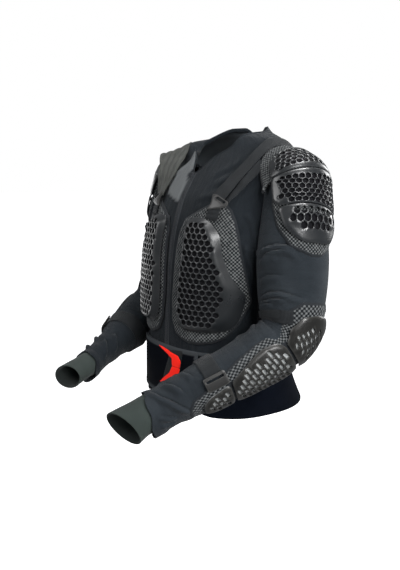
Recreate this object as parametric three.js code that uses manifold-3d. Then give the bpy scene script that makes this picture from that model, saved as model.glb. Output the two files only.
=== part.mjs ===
// Motorcycle body armour: a mesh jacket that carries hard guards on foam pads, as it is worn.
// Millimetres, +Z up. The wearer faces -Y and the wearer's left is +X; the origin is the middle of the neck base.

import * as THREE from 'three';
import { TessellateModifier } from 'three/addons/modifiers/TessellateModifier.js';
import { mergeVertices } from 'three/addons/utils/BufferGeometryUtils.js';
import Module from 'manifold-3d';

const wasm = await Module();
wasm.setup();

const table = (columns, rows) => {
  const names = columns.split(' ');
  return rows.map((row) => Object.fromEntries(names.map((name, i) => [name, row[i]])));
};

// Driving dimensions

const CLOTH = 2.4;
const SEAM_GAP = 0.3;
const OVER_CLOTH = 3.6;
const PAD_TOP = 8.4;
const PAD_EDGE = 5;
const PAD_RAMP = 7;
const SHELL_LOW = 10.8;
const ELBOW_PAD_TOP = 6.4;
const ELBOW_SHELL_LOW = 9;
const SHELL_WALL = 2.8;
const CUT_PAST = 20;

// Longest edges of the triangles of pieces that are bent onto a form.
const FACET = { chest: 47.3, shoulder: 38.9, elbow: 36.7, armBuckle: 29.3, strapBuckle: 38.3, mark: 13.7 };

// Level sections of the jacket body: half width, depth to the front and the back, and the section's middle in Y.
const BODY = table('z halfWidth front back middle', [
  [-530, 166, 117, 165, 0],
  [-470, 161, 119, 135, 0],
  [-400, 156, 120, 115, 0],
  [-300, 158, 118, 115, 3],
  [-200, 168, 114, 120, 8],
  [-120, 174, 105, 115, 20],
  [-70, 174, 90, 95, 32],
  [-35, 166, 73, 80, 38],
  [-15, 151, 65, 70, 41],
  [5, 125, 62, 65, 42],
  [17, 92, 61, 64, 41],
  [28, 76, 60, 63, 40],
]);
const BODY_SQUARENESS = 0.82;
const BODY_SIDES = 24;
const HEM = -492;
const SIDE_SEAM_Y = 38;
const ZIP_HALF_WIDTH = 4.5;

// Plan of the neck opening, wearer's left half from the front point to the nape. The right half gapes wider.
const NECK_PLAN = table('x y', [[0, -58], [36, -33], [78, -4], [86, 32], [70, 68], [38, 96], [0, 106]]);
const NECK_RIGHT_GAPE = 1.2;
const NECK_SIDES = 24;
const NECK_BINDING = { wall: 3, below: 7, above: 2 };

// Joints of the bent arms, at the middle of the sleeve.
const ARMS = table('side shoulder elbow wrist cuffEnd', [
  [1, [195, 43, -88], [234, 9, -364], [154, -234, -482], [139, -292, -508]],
  [-1, [-197, 46, -88], [-250, 20, -357], [-129, -230, -456], [-100, -289, -462]],
]);
const ELBOW_BEND = 64;

// Sleeve sections along the arm from the elbow: radius in the plane of the bend, and across it. The close rows
// near the wrist are the gathers of the cloth.
const SLEEVE = table('along inPlane across', [
  [-290, 53, 53],
  [-230, 58, 58],
  [-140, 65, 62],
  [-70, 61, 58],
  [-20, 50, 53],
  [20, 43, 49],
  [50, 45, 50],
  [130, 43, 47],
  [190, 41, 41],
  [210, 38.5, 37],
  [230, 40.5, 36],
  [250, 37.5, 32],
  [290, 38.5, 31],
]);
const SHOULDER_CAP_TURNS = [70, 35];
const SLEEVE_ROWS = [-230, -140, -70, -36, -12, 12, 36, 70, 130, 190, 210, 230, 250];
const SLEEVE_SIDES = 10;
const ELBOW_SEAM = -32;
const FOREARM_SEAM = 70;
const WRIST_SEAM = 152;
const CUFF = {
  wall: 3, startInPlane: 37, startAcross: 30, endInPlane: 40, endAcross: 33, slantTop: 15, slantNear: 13,
};

// The chest guard on the wearer's left: height, and arc from the front centre line to both edges of the pad.
const CHEST_PAD = table('at from to', [
  [-388, 74, 98],
  [-383, 56, 126],
  [-373, 36, 150],
  [-348, 23, 173],
  [-302, 19, 198],
  [-255, 21, 186],
  [-215, 23, 176],
  [-177, 25, 167],
  [-150, 36, 157],
  [-129, 76, 144],
  [-118, 98, 130],
]);
const CHEST_SHELL = [
  [59, -158], [91, -148], [128, -163], [139, -192], [150, -232], [164, -262], [178, -288], [174, -318],
  [160, -348], [100, -362], [72, -356], [56, -338], [58, -290], [62, -200],
];
const CHEST_ZONE = [
  [64, -163], [88, -158], [119, -172], [128, -210], [136, -240], [150, -284], [138, -330], [125, -350],
  [98, -354], [72, -344], [61, -327], [67, -237],
];
const CHEST_DOME = { rise: 8, over: 16 };
// The guard on the wearer's right sits closer to the zip.
const RIGHT_CHEST_SHIFT = { pad: 13, shell: 25 };
const CHEST_HEX = { across: 22, web: 7 };

// The shoulder guard as angle from the outer line, forward positive, and height along the arm over the cap.
const SHOULDER_REACH = 70;
const SHOULDER_SLOPE = THREE.MathUtils.degToRad(61);
const SHOULDER_PAD = table('at from to', [
  [-132, -10, 10],
  [-116, -36, 36],
  [-80, -56, 56],
  [-40, -72, 74],
  [0, -82, 88],
  [20, -80, 87],
  [40, -76, 84],
  [58, -71, 80],
  [75, -66, 76],
  [106, -48, 58],
  [119, -26, 32],
]);
const SHOULDER_SHELLS = table('name outline zone', [
  ['top', [[-60, 34], [72, 34], [78, 46], [64, 92], [34, 104], [-34, 104], [-56, 84]],
    [[-44, 40], [46, 40], [40, 92], [-40, 92]]],
  ['mid', [[-64, 30], [74, 30], [77, 0], [70, -36], [58, -46], [-50, -46], [-62, -36], [-68, 0]],
    [[-50, 26], [50, 26], [44, -38], [-44, -38]]],
  ['low', [[-52, -50], [62, -50], [50, -82], [27, -106], [-20, -110], [-44, -80]],
    [[-32, -54], [34, -54], [26, -86], [-24, -86]]],
]);
const SHOULDER_HEX = { across: 24, web: 8 };
const SHOULDER_DOME = { rise: 2, over: 10 };

// The elbow guard as angle round the sleeve from the bend's outer line towards the outside, and way along the arm.
const ELBOW_REACH = 62;
const ELBOW_PAD = table('at from to', [
  [-64, 34, 86],
  [-50, -4, 110],
  [-30, -22, 119],
  [-10, -31, 127],
  [10, -36, 132],
  [32, -38, 136],
  [76, -30, 126],
  [114, -14, 116],
  [146, -2, 103],
  [182, 6, 89],
  [214, 14, 78],
  [228, 34, 58],
]);
const ELBOW_SHELLS = table('name outline zone', [
  ['elbow_cup', [[88, -36], [106, -10], [96, 18], [60, 19], [14, 19], [-6, 14], [-12, 0], [4, -22], [30, -35],
    [60, -41]], [[82, -14], [82, 14], [12, 14], [12, -14]]],
  ['forearm_plate', [[94, 25], [107, 38], [109, 64], [104, 84], [86, 128], [80, 140], [20, 140], [2, 100],
    [-16, 66], [-10, 36], [10, 25]], [[84, 36], [92, 62], [70, 132], [28, 132], [4, 66], [14, 36]]],
  ['wrist_plate', [[78, 145], [70, 188], [56, 202], [30, 202], [20, 180], [20, 145]],
    [[70, 150], [62, 194], [34, 194], [28, 150]]],
]);
const ELBOW_SLOT = { along: 25, across: 12, web: 7 };
const ROW_BOW = 0.0004;
const ELBOW_DOME = { rise: 2, over: 10 };

// Straps on the jacket body: angle round the body from the front, height, and lift off the cloth.
const SHOULDER_STRAP = { width: 32, wall: 2, rows: table('angle z lift', [
  [39, -103, 10], [46, -76, 6], [56, -42, 5], [72, -21, 5], [90, -11, 5], [108, -18, 5], [124, -50, 4],
  [136, -100, 2],
]) };
const CUP_STRAP = { width: 24, wall: 1.6, rows: table('angle z lift', [
  [45, -101, 2], [51, -86, 1.6], [57, -68, 1.6], [60.5, -55, 1.6],
]) };
const CHEST_TAB = { width: 26, wall: 1.6, rows: table('angle z lift', [
  [34.5, -133.5, 10], [34.5, -147, 10],
]) };
const STRAP_BUCKLE = { angle: 35.5, z: -118, lift: 10, wall: 4, width: 46, height: 17, slotWidth: 36, slotHeight: 6,
  tilt: THREE.MathUtils.degToRad(-20) };
const ELBOW_STRAP = { rows: table('at from to', [[-50, 130, 312], [-14, 134, 308]]), columns: 9, wall: 2 };
const FOREARM_STRAP = { rows: table('at from to', [[146, 112, 340], [178, 112, 340]]), columns: 11, wall: 2 };
const FOREARM_BUCKLE = { from: 84, to: 108, top: 146, bottom: 180, lift: 8.2, wall: 3, rim: 7 };

// Waist belt: heights of its edges, the flap's reach as arc from the front centre line, and the marks on it.
const BELT = { top: -398, frontBottom: -499, backBottom: -529, drop: [5, 45], low: 1.6, wall: 3, sides: 24 };
const FLAP = { lift: 5.6, wall: 2.4, columns: 12, rows: table('at from to', [
  [-498, -130, 103], [-488, -130, 113], [-408, -130, 113], [-398, -130, 103],
]) };
const BELT_STRIP = { lift: 9.2, wall: 1.4, columns: 3, rows: table('at from to', [[-490, 16, 66], [-408, 16, 66]]) };
const BELT_MARKS = { onFlap: 9.1, onStrip: 11.6, slope: [0, 14], wall: 1.4, bars: table('name outline', [
  ['wide', [[-25, -411], [-4, -413], [54, -436], [54, -448], [34, -448], [30, -436]]],
  ['narrow', [[-22, -487], [-2, -485], [54, -462], [54, -450], [34, -450], [30, -462]]],
]) };

const FINISH = table('name colour roughness metalness', [
  ['mesh', 0x262a30, 0.9, 0],
  ['cuff', 0x2f3533, 0.85, 0],
  ['foam', 0x4a4c4e, 0.9, 0],
  ['shell', 0x131416, 0.35, 0],
  ['strap', 0x232427, 0.8, 0],
  ['buckle', 0x8b8d8c, 0.5, 0],
  ['belt', 0x12141a, 0.85, 0],
  ['mark', 0xd8261c, 0.55, 0],
]);
const PAINT = Object.fromEntries(FINISH.map(({ name, colour, roughness, metalness }) =>
  [name, new THREE.MeshStandardMaterial({ color: colour, roughness, metalness })]));

// Curves and closed geometry

const vector = (xyz) => new THREE.Vector3(...xyz);
const radians = THREE.MathUtils.degToRad;

function smooth(rows, key, column, x) {
  const last = rows.length - 1;
  let i = 0;
  while (i < last - 1 && x > rows[i + 1][key]) i += 1;
  const slope = (j) => {
    const before = rows[Math.max(j - 1, 0)];
    const after = rows[Math.min(j + 1, last)];
    return (after[column] - before[column]) / (after[key] - before[key]);
  };
  const span = rows[i + 1][key] - rows[i][key];
  const t = THREE.MathUtils.clamp((x - rows[i][key]) / span, 0, 1);
  const ease = t * t * (3 - 2 * t);
  return rows[i][column] * (1 - ease) + rows[i + 1][column] * ease
    + span * t * (1 - t) * (slope(i) * (1 - t) - slope(i + 1) * t);
}

function closed(geometry) {
  geometry.deleteAttribute('normal');
  geometry.deleteAttribute('uv');
  return mergeVertices(geometry, 1e-3);
}

function reshape(geometry, move) {
  const position = geometry.getAttribute('position');
  const point = new THREE.Vector3();
  for (let i = 0; i < position.count; i += 1) {
    point.fromBufferAttribute(position, i);
    position.setXYZ(i, ...move(point).toArray());
  }
  return closed(geometry);
}

function solid(geometry) {
  const vertProperties = new Float32Array(geometry.getAttribute('position').array);
  const triVerts = new Uint32Array(geometry.getIndex().array);
  return new wasm.Manifold(new wasm.Mesh({ numProp: 3, vertProperties, triVerts }));
}

function surface(manifold) {
  const mesh = manifold.getMesh();
  const geometry = new THREE.BufferGeometry();
  geometry.setAttribute('position', new THREE.BufferAttribute(mesh.vertProperties, 3));
  geometry.setIndex(new THREE.BufferAttribute(mesh.triVerts, 1));
  return geometry;
}

function box(low, high) {
  const size = vector(high).sub(vector(low));
  const geometry = new THREE.BoxGeometry(size.x, size.y, size.z);
  geometry.translate(low[0] + size.x / 2, low[1] + size.y / 2, low[2] + size.z / 2);
  return solid(closed(geometry));
}

// A closed tube of `rows` rings: ring(row, angle) is the rim point and middle(row) the centre of that ring.
function loft(sides, rows, ring, middle) {
  const geometry = new THREE.CylinderGeometry(1, 1, 1, sides, rows - 1);
  return reshape(geometry, (p) => {
    const row = Math.round((p.y + 0.5) * (rows - 1));
    const reach = Math.hypot(p.x, p.z);
    return middle(row).lerp(ring(row, Math.atan2(p.x, p.z)), reach);
  });
}

// A closed band with a rectangular section: place(angle, across, level), both from -1 to 1.
function band(sides, place) {
  const geometry = new THREE.TorusGeometry(2, 1, 4, sides);
  return reshape(geometry, (p) => {
    const out = Math.hypot(p.x, p.y) - 2;
    const side = (reach) => Math.sign(Math.round(reach * 9));
    return place(Math.atan2(p.y, p.x), side(out - p.z), side(out + p.z));
  });
}

// A flat outline with holes, wrapped on a form: place(u, v, lift). flip is -1 where u runs against the form.
function wrap({ outline, holes, flip, place, low, wall = SHELL_WALL, edge }) {
  const turned = (points) => points.map(([u, v]) => new THREE.Vector2(flip * u, v));
  const rim = turned(outline);
  const shape = new THREE.Shape(THREE.ShapeUtils.isClockWise(rim) ? rim.reverse() : rim);
  shape.holes = holes.map((hole) => new THREE.Path(turned(hole)));
  const flat = new THREE.ExtrudeGeometry(shape, { depth: 1, bevelEnabled: false });
  const fine = new TessellateModifier(edge, 9).modify(flat);
  return reshape(fine, (p) => {
    const u = flip * p.x;
    return place(u, p.y, low(u, p.y) + p.z * wall);
  });
}

// A crowned or flat patch between two edges given by rows of a height and where it starts and ends there.
function patch({ rows, columns, flip = 1, place, low, wall }) {
  const last = rows.length - 1;
  const geometry = new THREE.BoxGeometry(1, 1, 1, columns, last, 1);
  return reshape(geometry, (p) => {
    const [across, up] = [flip * p.x + 0.5, p.y + 0.5];
    const { at, from, to } = rows[Math.round(up * last)];
    const rim = Math.min(across, 1 - across, up, 1 - up);
    return place(THREE.MathUtils.lerp(from, to, across), at, low + (p.z + 0.5) * wall(rim));
  });
}

function rounded(points, radius) {
  const shape = new THREE.Shape();
  points.forEach((corner, i) => {
    const at = new THREE.Vector2(...corner);
    const before = new THREE.Vector2(...points.at(i - 1));
    const after = new THREE.Vector2(...points[(i + 1) % points.length]);
    const cut = Math.min(radius, at.distanceTo(before) / 2.2, at.distanceTo(after) / 2.2);
    const start = before.sub(at).setLength(cut).add(at);
    const end = after.sub(at).setLength(cut).add(at);
    if (i === 0) shape.moveTo(start.x, start.y);
    else shape.lineTo(start.x, start.y);
    shape.quadraticCurveTo(at.x, at.y, end.x, end.y);
  });
  shape.closePath();
  return shape.getPoints(1).slice(0, -1).map(({ x, y }) => [x, y]);
}

function inside(outline, [u, v]) {
  let odd = false;
  outline.forEach(([u1, v1], i) => {
    const [u2, v2] = outline.at(i - 1);
    if ((v1 > v) !== (v2 > v) && u < u1 + (u2 - u1) * (v - v1) / (v2 - v1)) odd = !odd;
  });
  return odd;
}

function distanceToRim(outline, u, v) {
  const at = new THREE.Vector3(u, v, 0);
  const near = new THREE.Vector3();
  return Math.min(...outline.map((corner, i) => {
    const line = new THREE.Line3(new THREE.Vector3(...corner, 0), new THREE.Vector3(...outline.at(i - 1), 0));
    return line.closestPointToPoint(at, true, near).distanceTo(at);
  }));
}

function dome(outline, { rise, over }) {
  return (u, v) => rise * THREE.MathUtils.smoothstep(distanceToRim(outline, u, v), 0, over);
}

// Cells on a staggered grid whose rows bow a little, kept where all of a cell's corners are inside the zone.
function cells(zone, corners, stepU, stepV) {
  const us = zone.map(([u]) => u);
  const vs = zone.map(([, v]) => v);
  const [left, right, bottom, top] = [Math.min(...us), Math.max(...us), Math.min(...vs), Math.max(...vs)];
  const kept = [];
  for (let row = 0; bottom + row * stepV <= top; row += 1) {
    for (let u = left + (row % 2) * stepU / 2; u <= right; u += stepU) {
      const v = bottom + row * stepV + ROW_BOW * (u - left) ** 2;
      const cell = corners.map(([du, dv]) => [u + du, v + dv]);
      if (cell.every((corner) => inside(zone, corner))) kept.push(cell);
    }
  }
  return kept;
}

function honeycomb(zone, { across, web }) {
  const reach = across / Math.sqrt(3);
  const corners = Array.from({ length: 6 }, (_, i) => {
    const angle = radians(30 + 60 * i);
    return [reach * Math.cos(angle), reach * Math.sin(angle)];
  });
  const pitch = across + web;
  return cells(zone, corners, pitch, pitch * Math.sqrt(3) / 2);
}

function slots(zone, { along, across, web }) {
  const [halfU, halfV] = [along / 2, across / 2];
  const corners = [[-halfU, -halfV], [halfU, -halfV], [halfU, halfV], [-halfU, halfV]];
  return cells(zone, corners, along + web, across + web);
}

// The jacket body

function bodySection(angle, z, inset = 0) {
  const [s, c] = [Math.sin(angle), Math.cos(angle)];
  const depth = c > 0 ? -smooth(BODY, 'z', 'front', z) + inset : smooth(BODY, 'z', 'back', z) - inset;
  const width = smooth(BODY, 'z', 'halfWidth', z) - inset;
  const x = width * Math.sign(s) * Math.abs(s) ** BODY_SQUARENESS;
  return new THREE.Vector3(x, smooth(BODY, 'z', 'middle', z) + depth * Math.abs(c) ** BODY_SQUARENESS, z);
}

function bodyNormal(angle, z) {
  const around = bodySection(angle + 0.01, z).sub(bodySection(angle - 0.01, z));
  const up = bodySection(angle, z + 1).sub(bodySection(angle, z - 1));
  return around.cross(up).normalize();
}

const onBody = (angle, z, lift) => bodySection(angle, z).addScaledVector(bodyNormal(angle, z), lift);

function angleAtArc(arc, z) {
  const step = radians(1.5) * Math.sign(arc);
  let angle = 0;
  let gone = 0;
  let here = bodySection(0, z);
  while (step !== 0) {
    const next = bodySection(angle + step, z);
    const length = next.distanceTo(here);
    if (gone + length >= Math.abs(arc)) return angle + step * (Math.abs(arc) - gone) / length;
    gone += length;
    angle += step;
    here = next;
  }
  return 0;
}

const onBodyArc = (arc, z, lift) => onBody(angleAtArc(arc, z), z, lift);

function bodySolid(inset, low, high) {
  const levels = BODY.map(({ z }) => z).filter((z) => z > HEM);
  const rows = [low, ...levels.slice(0, -1), high];
  const held = (z) => THREE.MathUtils.clamp(z, HEM, BODY.at(-1).z);
  const ring = (row, angle) => bodySection(angle, held(rows[row]), inset).setZ(rows[row]);
  const middle = (row) => new THREE.Vector3(0, smooth(BODY, 'z', 'middle', held(rows[row])), rows[row]);
  return solid(loft(BODY_SIDES, rows.length, ring, middle));
}

function neckOutline() {
  const left = NECK_PLAN.map(({ x, y }) => new THREE.Vector3(x, y, 0));
  const right = NECK_PLAN.slice(1, -1).reverse().map(({ x, y }) => new THREE.Vector3(-x * NECK_RIGHT_GAPE, y, 0));
  return new THREE.CatmullRomCurve3([...left, ...right], true, 'centripetal');
}

function bodyHeight(x, y) {
  let [low, high] = [-150, BODY.at(-1).z];
  const outside = (z) => {
    const c = y - smooth(BODY, 'z', 'middle', z);
    const depth = smooth(BODY, 'z', c < 0 ? 'front' : 'back', z);
    const power = 2 / BODY_SQUARENESS;
    return (Math.abs(x) / smooth(BODY, 'z', 'halfWidth', z)) ** power + (Math.abs(c) / depth) ** power > 1;
  };
  for (let i = 0; i < 40; i += 1) {
    const z = (low + high) / 2;
    if (outside(z)) high = z;
    else low = z;
  }
  return low;
}

// The arms

function makeArm({ side, shoulder, elbow, wrist, cuffEnd }) {
  const [top, bend, hand, end] = [shoulder, elbow, wrist, cuffEnd].map(vector);
  const upper = bend.clone().sub(top).normalize();
  const fore = hand.clone().sub(bend).normalize();
  const outward = upper.clone().cross(fore).normalize();
  if (outward.x * side < 0) outward.negate();
  const back = outward.clone().cross(upper).multiplyScalar(side);
  const turn = upper.angleTo(fore);
  const reach = ELBOW_BEND * Math.tan(turn / 2);
  const hub = bend.clone().addScaledVector(upper, -reach).addScaledVector(back, -ELBOW_BEND);
  const halfArc = ELBOW_BEND * turn / 2;
  const frame = (along) => {
    const turned = THREE.MathUtils.clamp(along / ELBOW_BEND + turn / 2, 0, turn);
    const normal = back.clone().multiplyScalar(Math.cos(turned)).addScaledVector(upper, Math.sin(turned));
    const ahead = upper.clone().multiplyScalar(Math.cos(turned)).addScaledVector(back, -Math.sin(turned));
    const straight = along - (turned * ELBOW_BEND - halfArc);
    const middle = hub.clone().addScaledVector(normal, ELBOW_BEND).addScaledVector(ahead, straight);
    return { middle, normal, ahead };
  };
  const shoulderAlong = -halfArc - (top.distanceTo(bend) - reach);
  const wristAlong = halfArc + bend.distanceTo(hand) - reach;
  return { side, top, end, upper, outward, frame, shoulderAlong, wristAlong };
}

function onArm(arm, along, angle, lift) {
  const { middle, normal } = arm.frame(along);
  const inPlane = smooth(SLEEVE, 'along', 'inPlane', along) + lift;
  const across = smooth(SLEEVE, 'along', 'across', along) + lift;
  return middle.addScaledVector(normal, inPlane * Math.cos(angle))
    .addScaledVector(arm.outward, across * Math.sin(angle));
}

function sleeveSolid(arm, inset, past) {
  const cap = SLEEVE[0].inPlane;
  const rows = [
    ...SHOULDER_CAP_TURNS.map((turn) => ({
      along: arm.shoulderAlong - (cap - inset) * Math.sin(radians(turn)), scale: Math.cos(radians(turn)) })),
    { along: arm.shoulderAlong, scale: 1 },
    ...SLEEVE_ROWS.map((along) => ({ along, scale: 1 })),
    { along: arm.wristAlong + past, scale: 1 },
  ];
  const ring = (row, angle) => {
    const { along, scale } = rows[row];
    return onArm(arm, along, arm.side * angle, -inset).lerp(arm.frame(along).middle, 1 - scale);
  };
  return solid(loft(SLEEVE_SIDES, rows.length, ring, (row) => arm.frame(rows[row].along).middle));
}

function cuffSolid(arm, inset, startPast, endPast) {
  const start = arm.frame(arm.wristAlong);
  const reach = arm.end.clone().sub(start.middle);
  const ahead = reach.clone().normalize();
  const endNormal = arm.outward.clone().cross(ahead).multiplyScalar(arm.side);
  const rows = [
    { part: 0, normal: start.normal, middle: start.middle.clone().addScaledVector(start.ahead, startPast) },
    { part: 0.5, normal: start.normal.clone().lerp(endNormal, 0.5),
      middle: start.middle.clone().addScaledVector(reach, 0.5) },
    { part: 1, normal: endNormal, middle: arm.end.clone().addScaledVector(ahead, endPast) },
  ];
  const ring = (row, angle) => {
    const { part, normal, middle } = rows[row];
    const inPlane = THREE.MathUtils.lerp(CUFF.startInPlane, CUFF.endInPlane, part) - inset;
    const across = THREE.MathUtils.lerp(CUFF.startAcross, CUFF.endAcross, part) - inset;
    const slant = part * (CUFF.slantTop * Math.cos(angle) + CUFF.slantNear * Math.sin(angle));
    return middle.clone().addScaledVector(normal, inPlane * Math.cos(angle))
      .addScaledVector(arm.outward, arm.side * across * Math.sin(angle)).addScaledVector(ahead, -slant);
  };
  return solid(loft(SLEEVE_SIDES, rows.length, ring, (row) => rows[row].middle.clone()));
}

function onShoulder(arm, angle, height, lift) {
  const forward = new THREE.Vector3(0, -1, 0);
  forward.addScaledVector(arm.upper, -forward.dot(arm.upper)).normalize();
  const out = forward.clone().cross(arm.upper).multiplyScalar(arm.side);
  out.multiplyScalar(Math.sign(out.x * arm.side));
  const turned = THREE.MathUtils.clamp(height / SHOULDER_REACH, 0, SHOULDER_SLOPE);
  const normal = out.clone().multiplyScalar(Math.cos(turned)).addScaledVector(arm.upper, -Math.sin(turned));
  const inward = out.clone().multiplyScalar(-Math.sin(turned)).addScaledVector(arm.upper, -Math.cos(turned));
  const past = height < 0 ? height : Math.max(0, height - SHOULDER_SLOPE * SHOULDER_REACH);
  const along = arm.shoulderAlong - Math.min(height, 0);
  const radius = smooth(SLEEVE, 'along', 'across', along) + lift;
  return arm.top.clone().addScaledVector(inward, past)
    .addScaledVector(normal, radius * Math.cos(angle)).addScaledVector(forward, radius * Math.sin(angle));
}

// Pieces

const jacket = new THREE.Group();

function add(name, geometry, finish) {
  const mesh = new THREE.Mesh(geometry, PAINT[finish]);
  mesh.name = name;
  jacket.add(mesh);
}

const arms = ARMS.map(makeArm);
const sideName = (side) => (side > 0 ? 'left' : 'right');

function addJacketBody() {
  const outer = bodySolid(0, HEM, BODY.at(-1).z);
  const inner = bodySolid(CLOTH, HEM - CUT_PAST, BODY.at(-1).z + CUT_PAST);
  const rim = neckOutline().getSpacedPoints(NECK_SIDES).slice(0, -1).map(({ x, y }) => new THREE.Vector2(x, y));
  const depth = 200;
  const neck = new THREE.ExtrudeGeometry(new THREE.Shape(rim), { depth, bevelEnabled: false });
  neck.translate(0, 0, -depth / 2);
  let wall = outer.subtract(inner).subtract(solid(closed(neck)));
  for (const arm of arms) wall = wall.subtract(sleeveSolid(arm, CLOTH, 0));
  const [far, low, high] = [400, -600, 100];
  const front = SIDE_SEAM_Y - SEAM_GAP;
  const zip = ZIP_HALF_WIDTH + SEAM_GAP;
  add('back_panel', surface(wall.intersect(box([-far, SIDE_SEAM_Y, low], [far, far, high]))), 'mesh');
  add('front_left_panel', surface(wall.intersect(box([zip, -far, low], [far, front, high]))), 'mesh');
  add('front_right_panel', surface(wall.intersect(box([-far, -far, low], [-zip, front, high]))), 'mesh');
  add('front_zip', surface(wall.intersect(box([-ZIP_HALF_WIDTH, -far, low], [ZIP_HALF_WIDTH, 0, high]))), 'strap');
}

function addNeckBinding() {
  const outline = neckOutline();
  const place = (angle, across, level) => {
    const t = THREE.MathUtils.euclideanModulo(angle / (2 * Math.PI) + 0.25, 1);
    const at = outline.getPointAt(t);
    const out = outline.getTangentAt(t).cross(new THREE.Vector3(0, 0, 1));
    at.z = bodyHeight(at.x, at.y) + (level > 0 ? NECK_BINDING.above : -NECK_BINDING.below);
    return at.addScaledVector(out, (across - 1) / 2 * NECK_BINDING.wall - SEAM_GAP);
  };
  add('neck_binding', band(NECK_SIDES, place), 'mesh');
}

function addSleeves(arm) {
  const far = 900;
  const name = sideName(arm.side);
  const body = bodySolid(-SEAM_GAP, HEM, BODY.at(-1).z);
  const tube = sleeveSolid(arm, 0, 0).subtract(sleeveSolid(arm, CLOTH, CUT_PAST)).subtract(body);
  const half = (along, up) => {
    const { middle, ahead } = arm.frame(along);
    const geometry = new THREE.BoxGeometry(far, far, far);
    geometry.translate(0, 0, up * far / 2);
    geometry.applyQuaternion(new THREE.Quaternion().setFromUnitVectors(new THREE.Vector3(0, 0, 1), ahead.negate()));
    geometry.translate(...middle.toArray());
    return solid(closed(geometry));
  };
  const after = (along) => half(along + SEAM_GAP, -1);
  add(`${name}_upper_sleeve`, surface(tube.intersect(half(ELBOW_SEAM, 1))), 'mesh');
  const lower = table('part from to', [
    ['elbow_sleeve', ELBOW_SEAM, FOREARM_SEAM], ['forearm_sleeve', FOREARM_SEAM, WRIST_SEAM],
    ['wrist_sleeve', WRIST_SEAM, arm.wristAlong + CUT_PAST],
  ]);
  for (const { part, from, to } of lower) {
    add(`${name}_${part}`, surface(tube.intersect(after(from)).intersect(half(to, 1))), 'mesh');
  }
  const cuff = cuffSolid(arm, 0, SEAM_GAP, 0).subtract(cuffSolid(arm, CUFF.wall, -CUT_PAST, CUT_PAST));
  add(`${name}_cuff`, surface(cuff), 'cuff');
}

const fixed = (value) => () => value;

const padWall = (top) => (rim) => THREE.MathUtils.lerp(PAD_EDGE, top, Math.min(1, rim * PAD_RAMP)) - OVER_CLOTH;

function addChestGuard(side) {
  const name = sideName(side);
  const shift = side < 0 ? RIGHT_CHEST_SHIFT : { pad: 0, shell: 0 };
  const placePad = (u, z, lift) => onBodyArc(side * (u - shift.pad), z, lift);
  const place = (u, z, lift) => onBodyArc(side * (u - shift.shell), z, lift);
  add(`${name}_chest_pad`, patch({ rows: CHEST_PAD, columns: 7, flip: side, place: placePad, low: OVER_CLOTH,
    wall: padWall(PAD_TOP) }), 'foam');
  const shell = rounded(CHEST_SHELL, 9);
  const crown = dome(shell, CHEST_DOME);
  add(`${name}_chest_shell`, wrap({ outline: shell, holes: honeycomb(CHEST_ZONE, CHEST_HEX), flip: side, place,
    low: (u, v) => SHELL_LOW + crown(u, v), edge: FACET.chest }), 'shell');
}

function addShoulderGuard(arm) {
  const name = sideName(arm.side);
  const flat = (points) => points.map(([angle, height]) => [radians(angle) * SHOULDER_REACH, height]);
  const place = (u, height, lift) => onShoulder(arm, u / SHOULDER_REACH, height, lift);
  const placeAngle = (angle, height, lift) => onShoulder(arm, radians(angle), height, lift);
  add(`${name}_shoulder_pad`, patch({ rows: SHOULDER_PAD, columns: 8, flip: -arm.side, place: placeAngle,
    low: OVER_CLOTH, wall: padWall(PAD_TOP) }), 'foam');
  for (const { name: part, outline, zone } of SHOULDER_SHELLS) {
    const shell = rounded(flat(outline), 6);
    const crown = dome(shell, SHOULDER_DOME);
    add(`${name}_shoulder_shell_${part}`, wrap({ outline: shell, holes: honeycomb(flat(zone), SHOULDER_HEX),
      flip: -arm.side, place, low: (u, v) => SHELL_LOW + crown(u, v), edge: FACET.shoulder }), 'shell');
  }
}

function addElbowGuard(arm) {
  const name = sideName(arm.side);
  const flat = (points) => points.map(([angle, along]) => [radians(angle) * ELBOW_REACH, along]);
  const place = (u, along, lift) => onArm(arm, along, u / ELBOW_REACH, lift);
  const placeAngle = (angle, along, lift) => onArm(arm, along, radians(angle), lift);
  add(`${name}_elbow_pad`, patch({ rows: ELBOW_PAD, columns: 7, flip: arm.side, place: placeAngle,
    low: OVER_CLOTH, wall: padWall(ELBOW_PAD_TOP) }), 'foam');
  for (const { name: part, outline, zone } of ELBOW_SHELLS) {
    const shell = rounded(flat(outline), 6);
    const crown = dome(shell, ELBOW_DOME);
    add(`${name}_${part}`, wrap({ outline: shell, holes: slots(flat(zone), ELBOW_SLOT), flip: arm.side, place,
      low: (u, v) => ELBOW_SHELL_LOW + crown(u, v), edge: FACET.elbow }), 'shell');
  }
  for (const [part, { rows, columns, wall }] of [['elbow_strap', ELBOW_STRAP], ['forearm_strap', FOREARM_STRAP]]) {
    add(`${name}_${part}`, patch({ rows, columns, flip: arm.side, place: placeAngle, low: OVER_CLOTH,
      wall: fixed(wall) }), 'strap');
  }
  const { from, to, top, bottom, rim, lift, wall } = FOREARM_BUCKLE;
  const [[left], [right]] = flat([[from, top], [to, top]]);
  const frame = (inset) => [[left + inset, top + inset], [right - inset, top + inset],
    [right - inset, bottom - inset], [left + inset, bottom - inset]];
  add(`${name}_forearm_buckle`, wrap({ outline: frame(0), holes: [frame(rim)], flip: arm.side, place,
    low: fixed(lift), wall, edge: FACET.armBuckle }), 'buckle');
}

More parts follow.
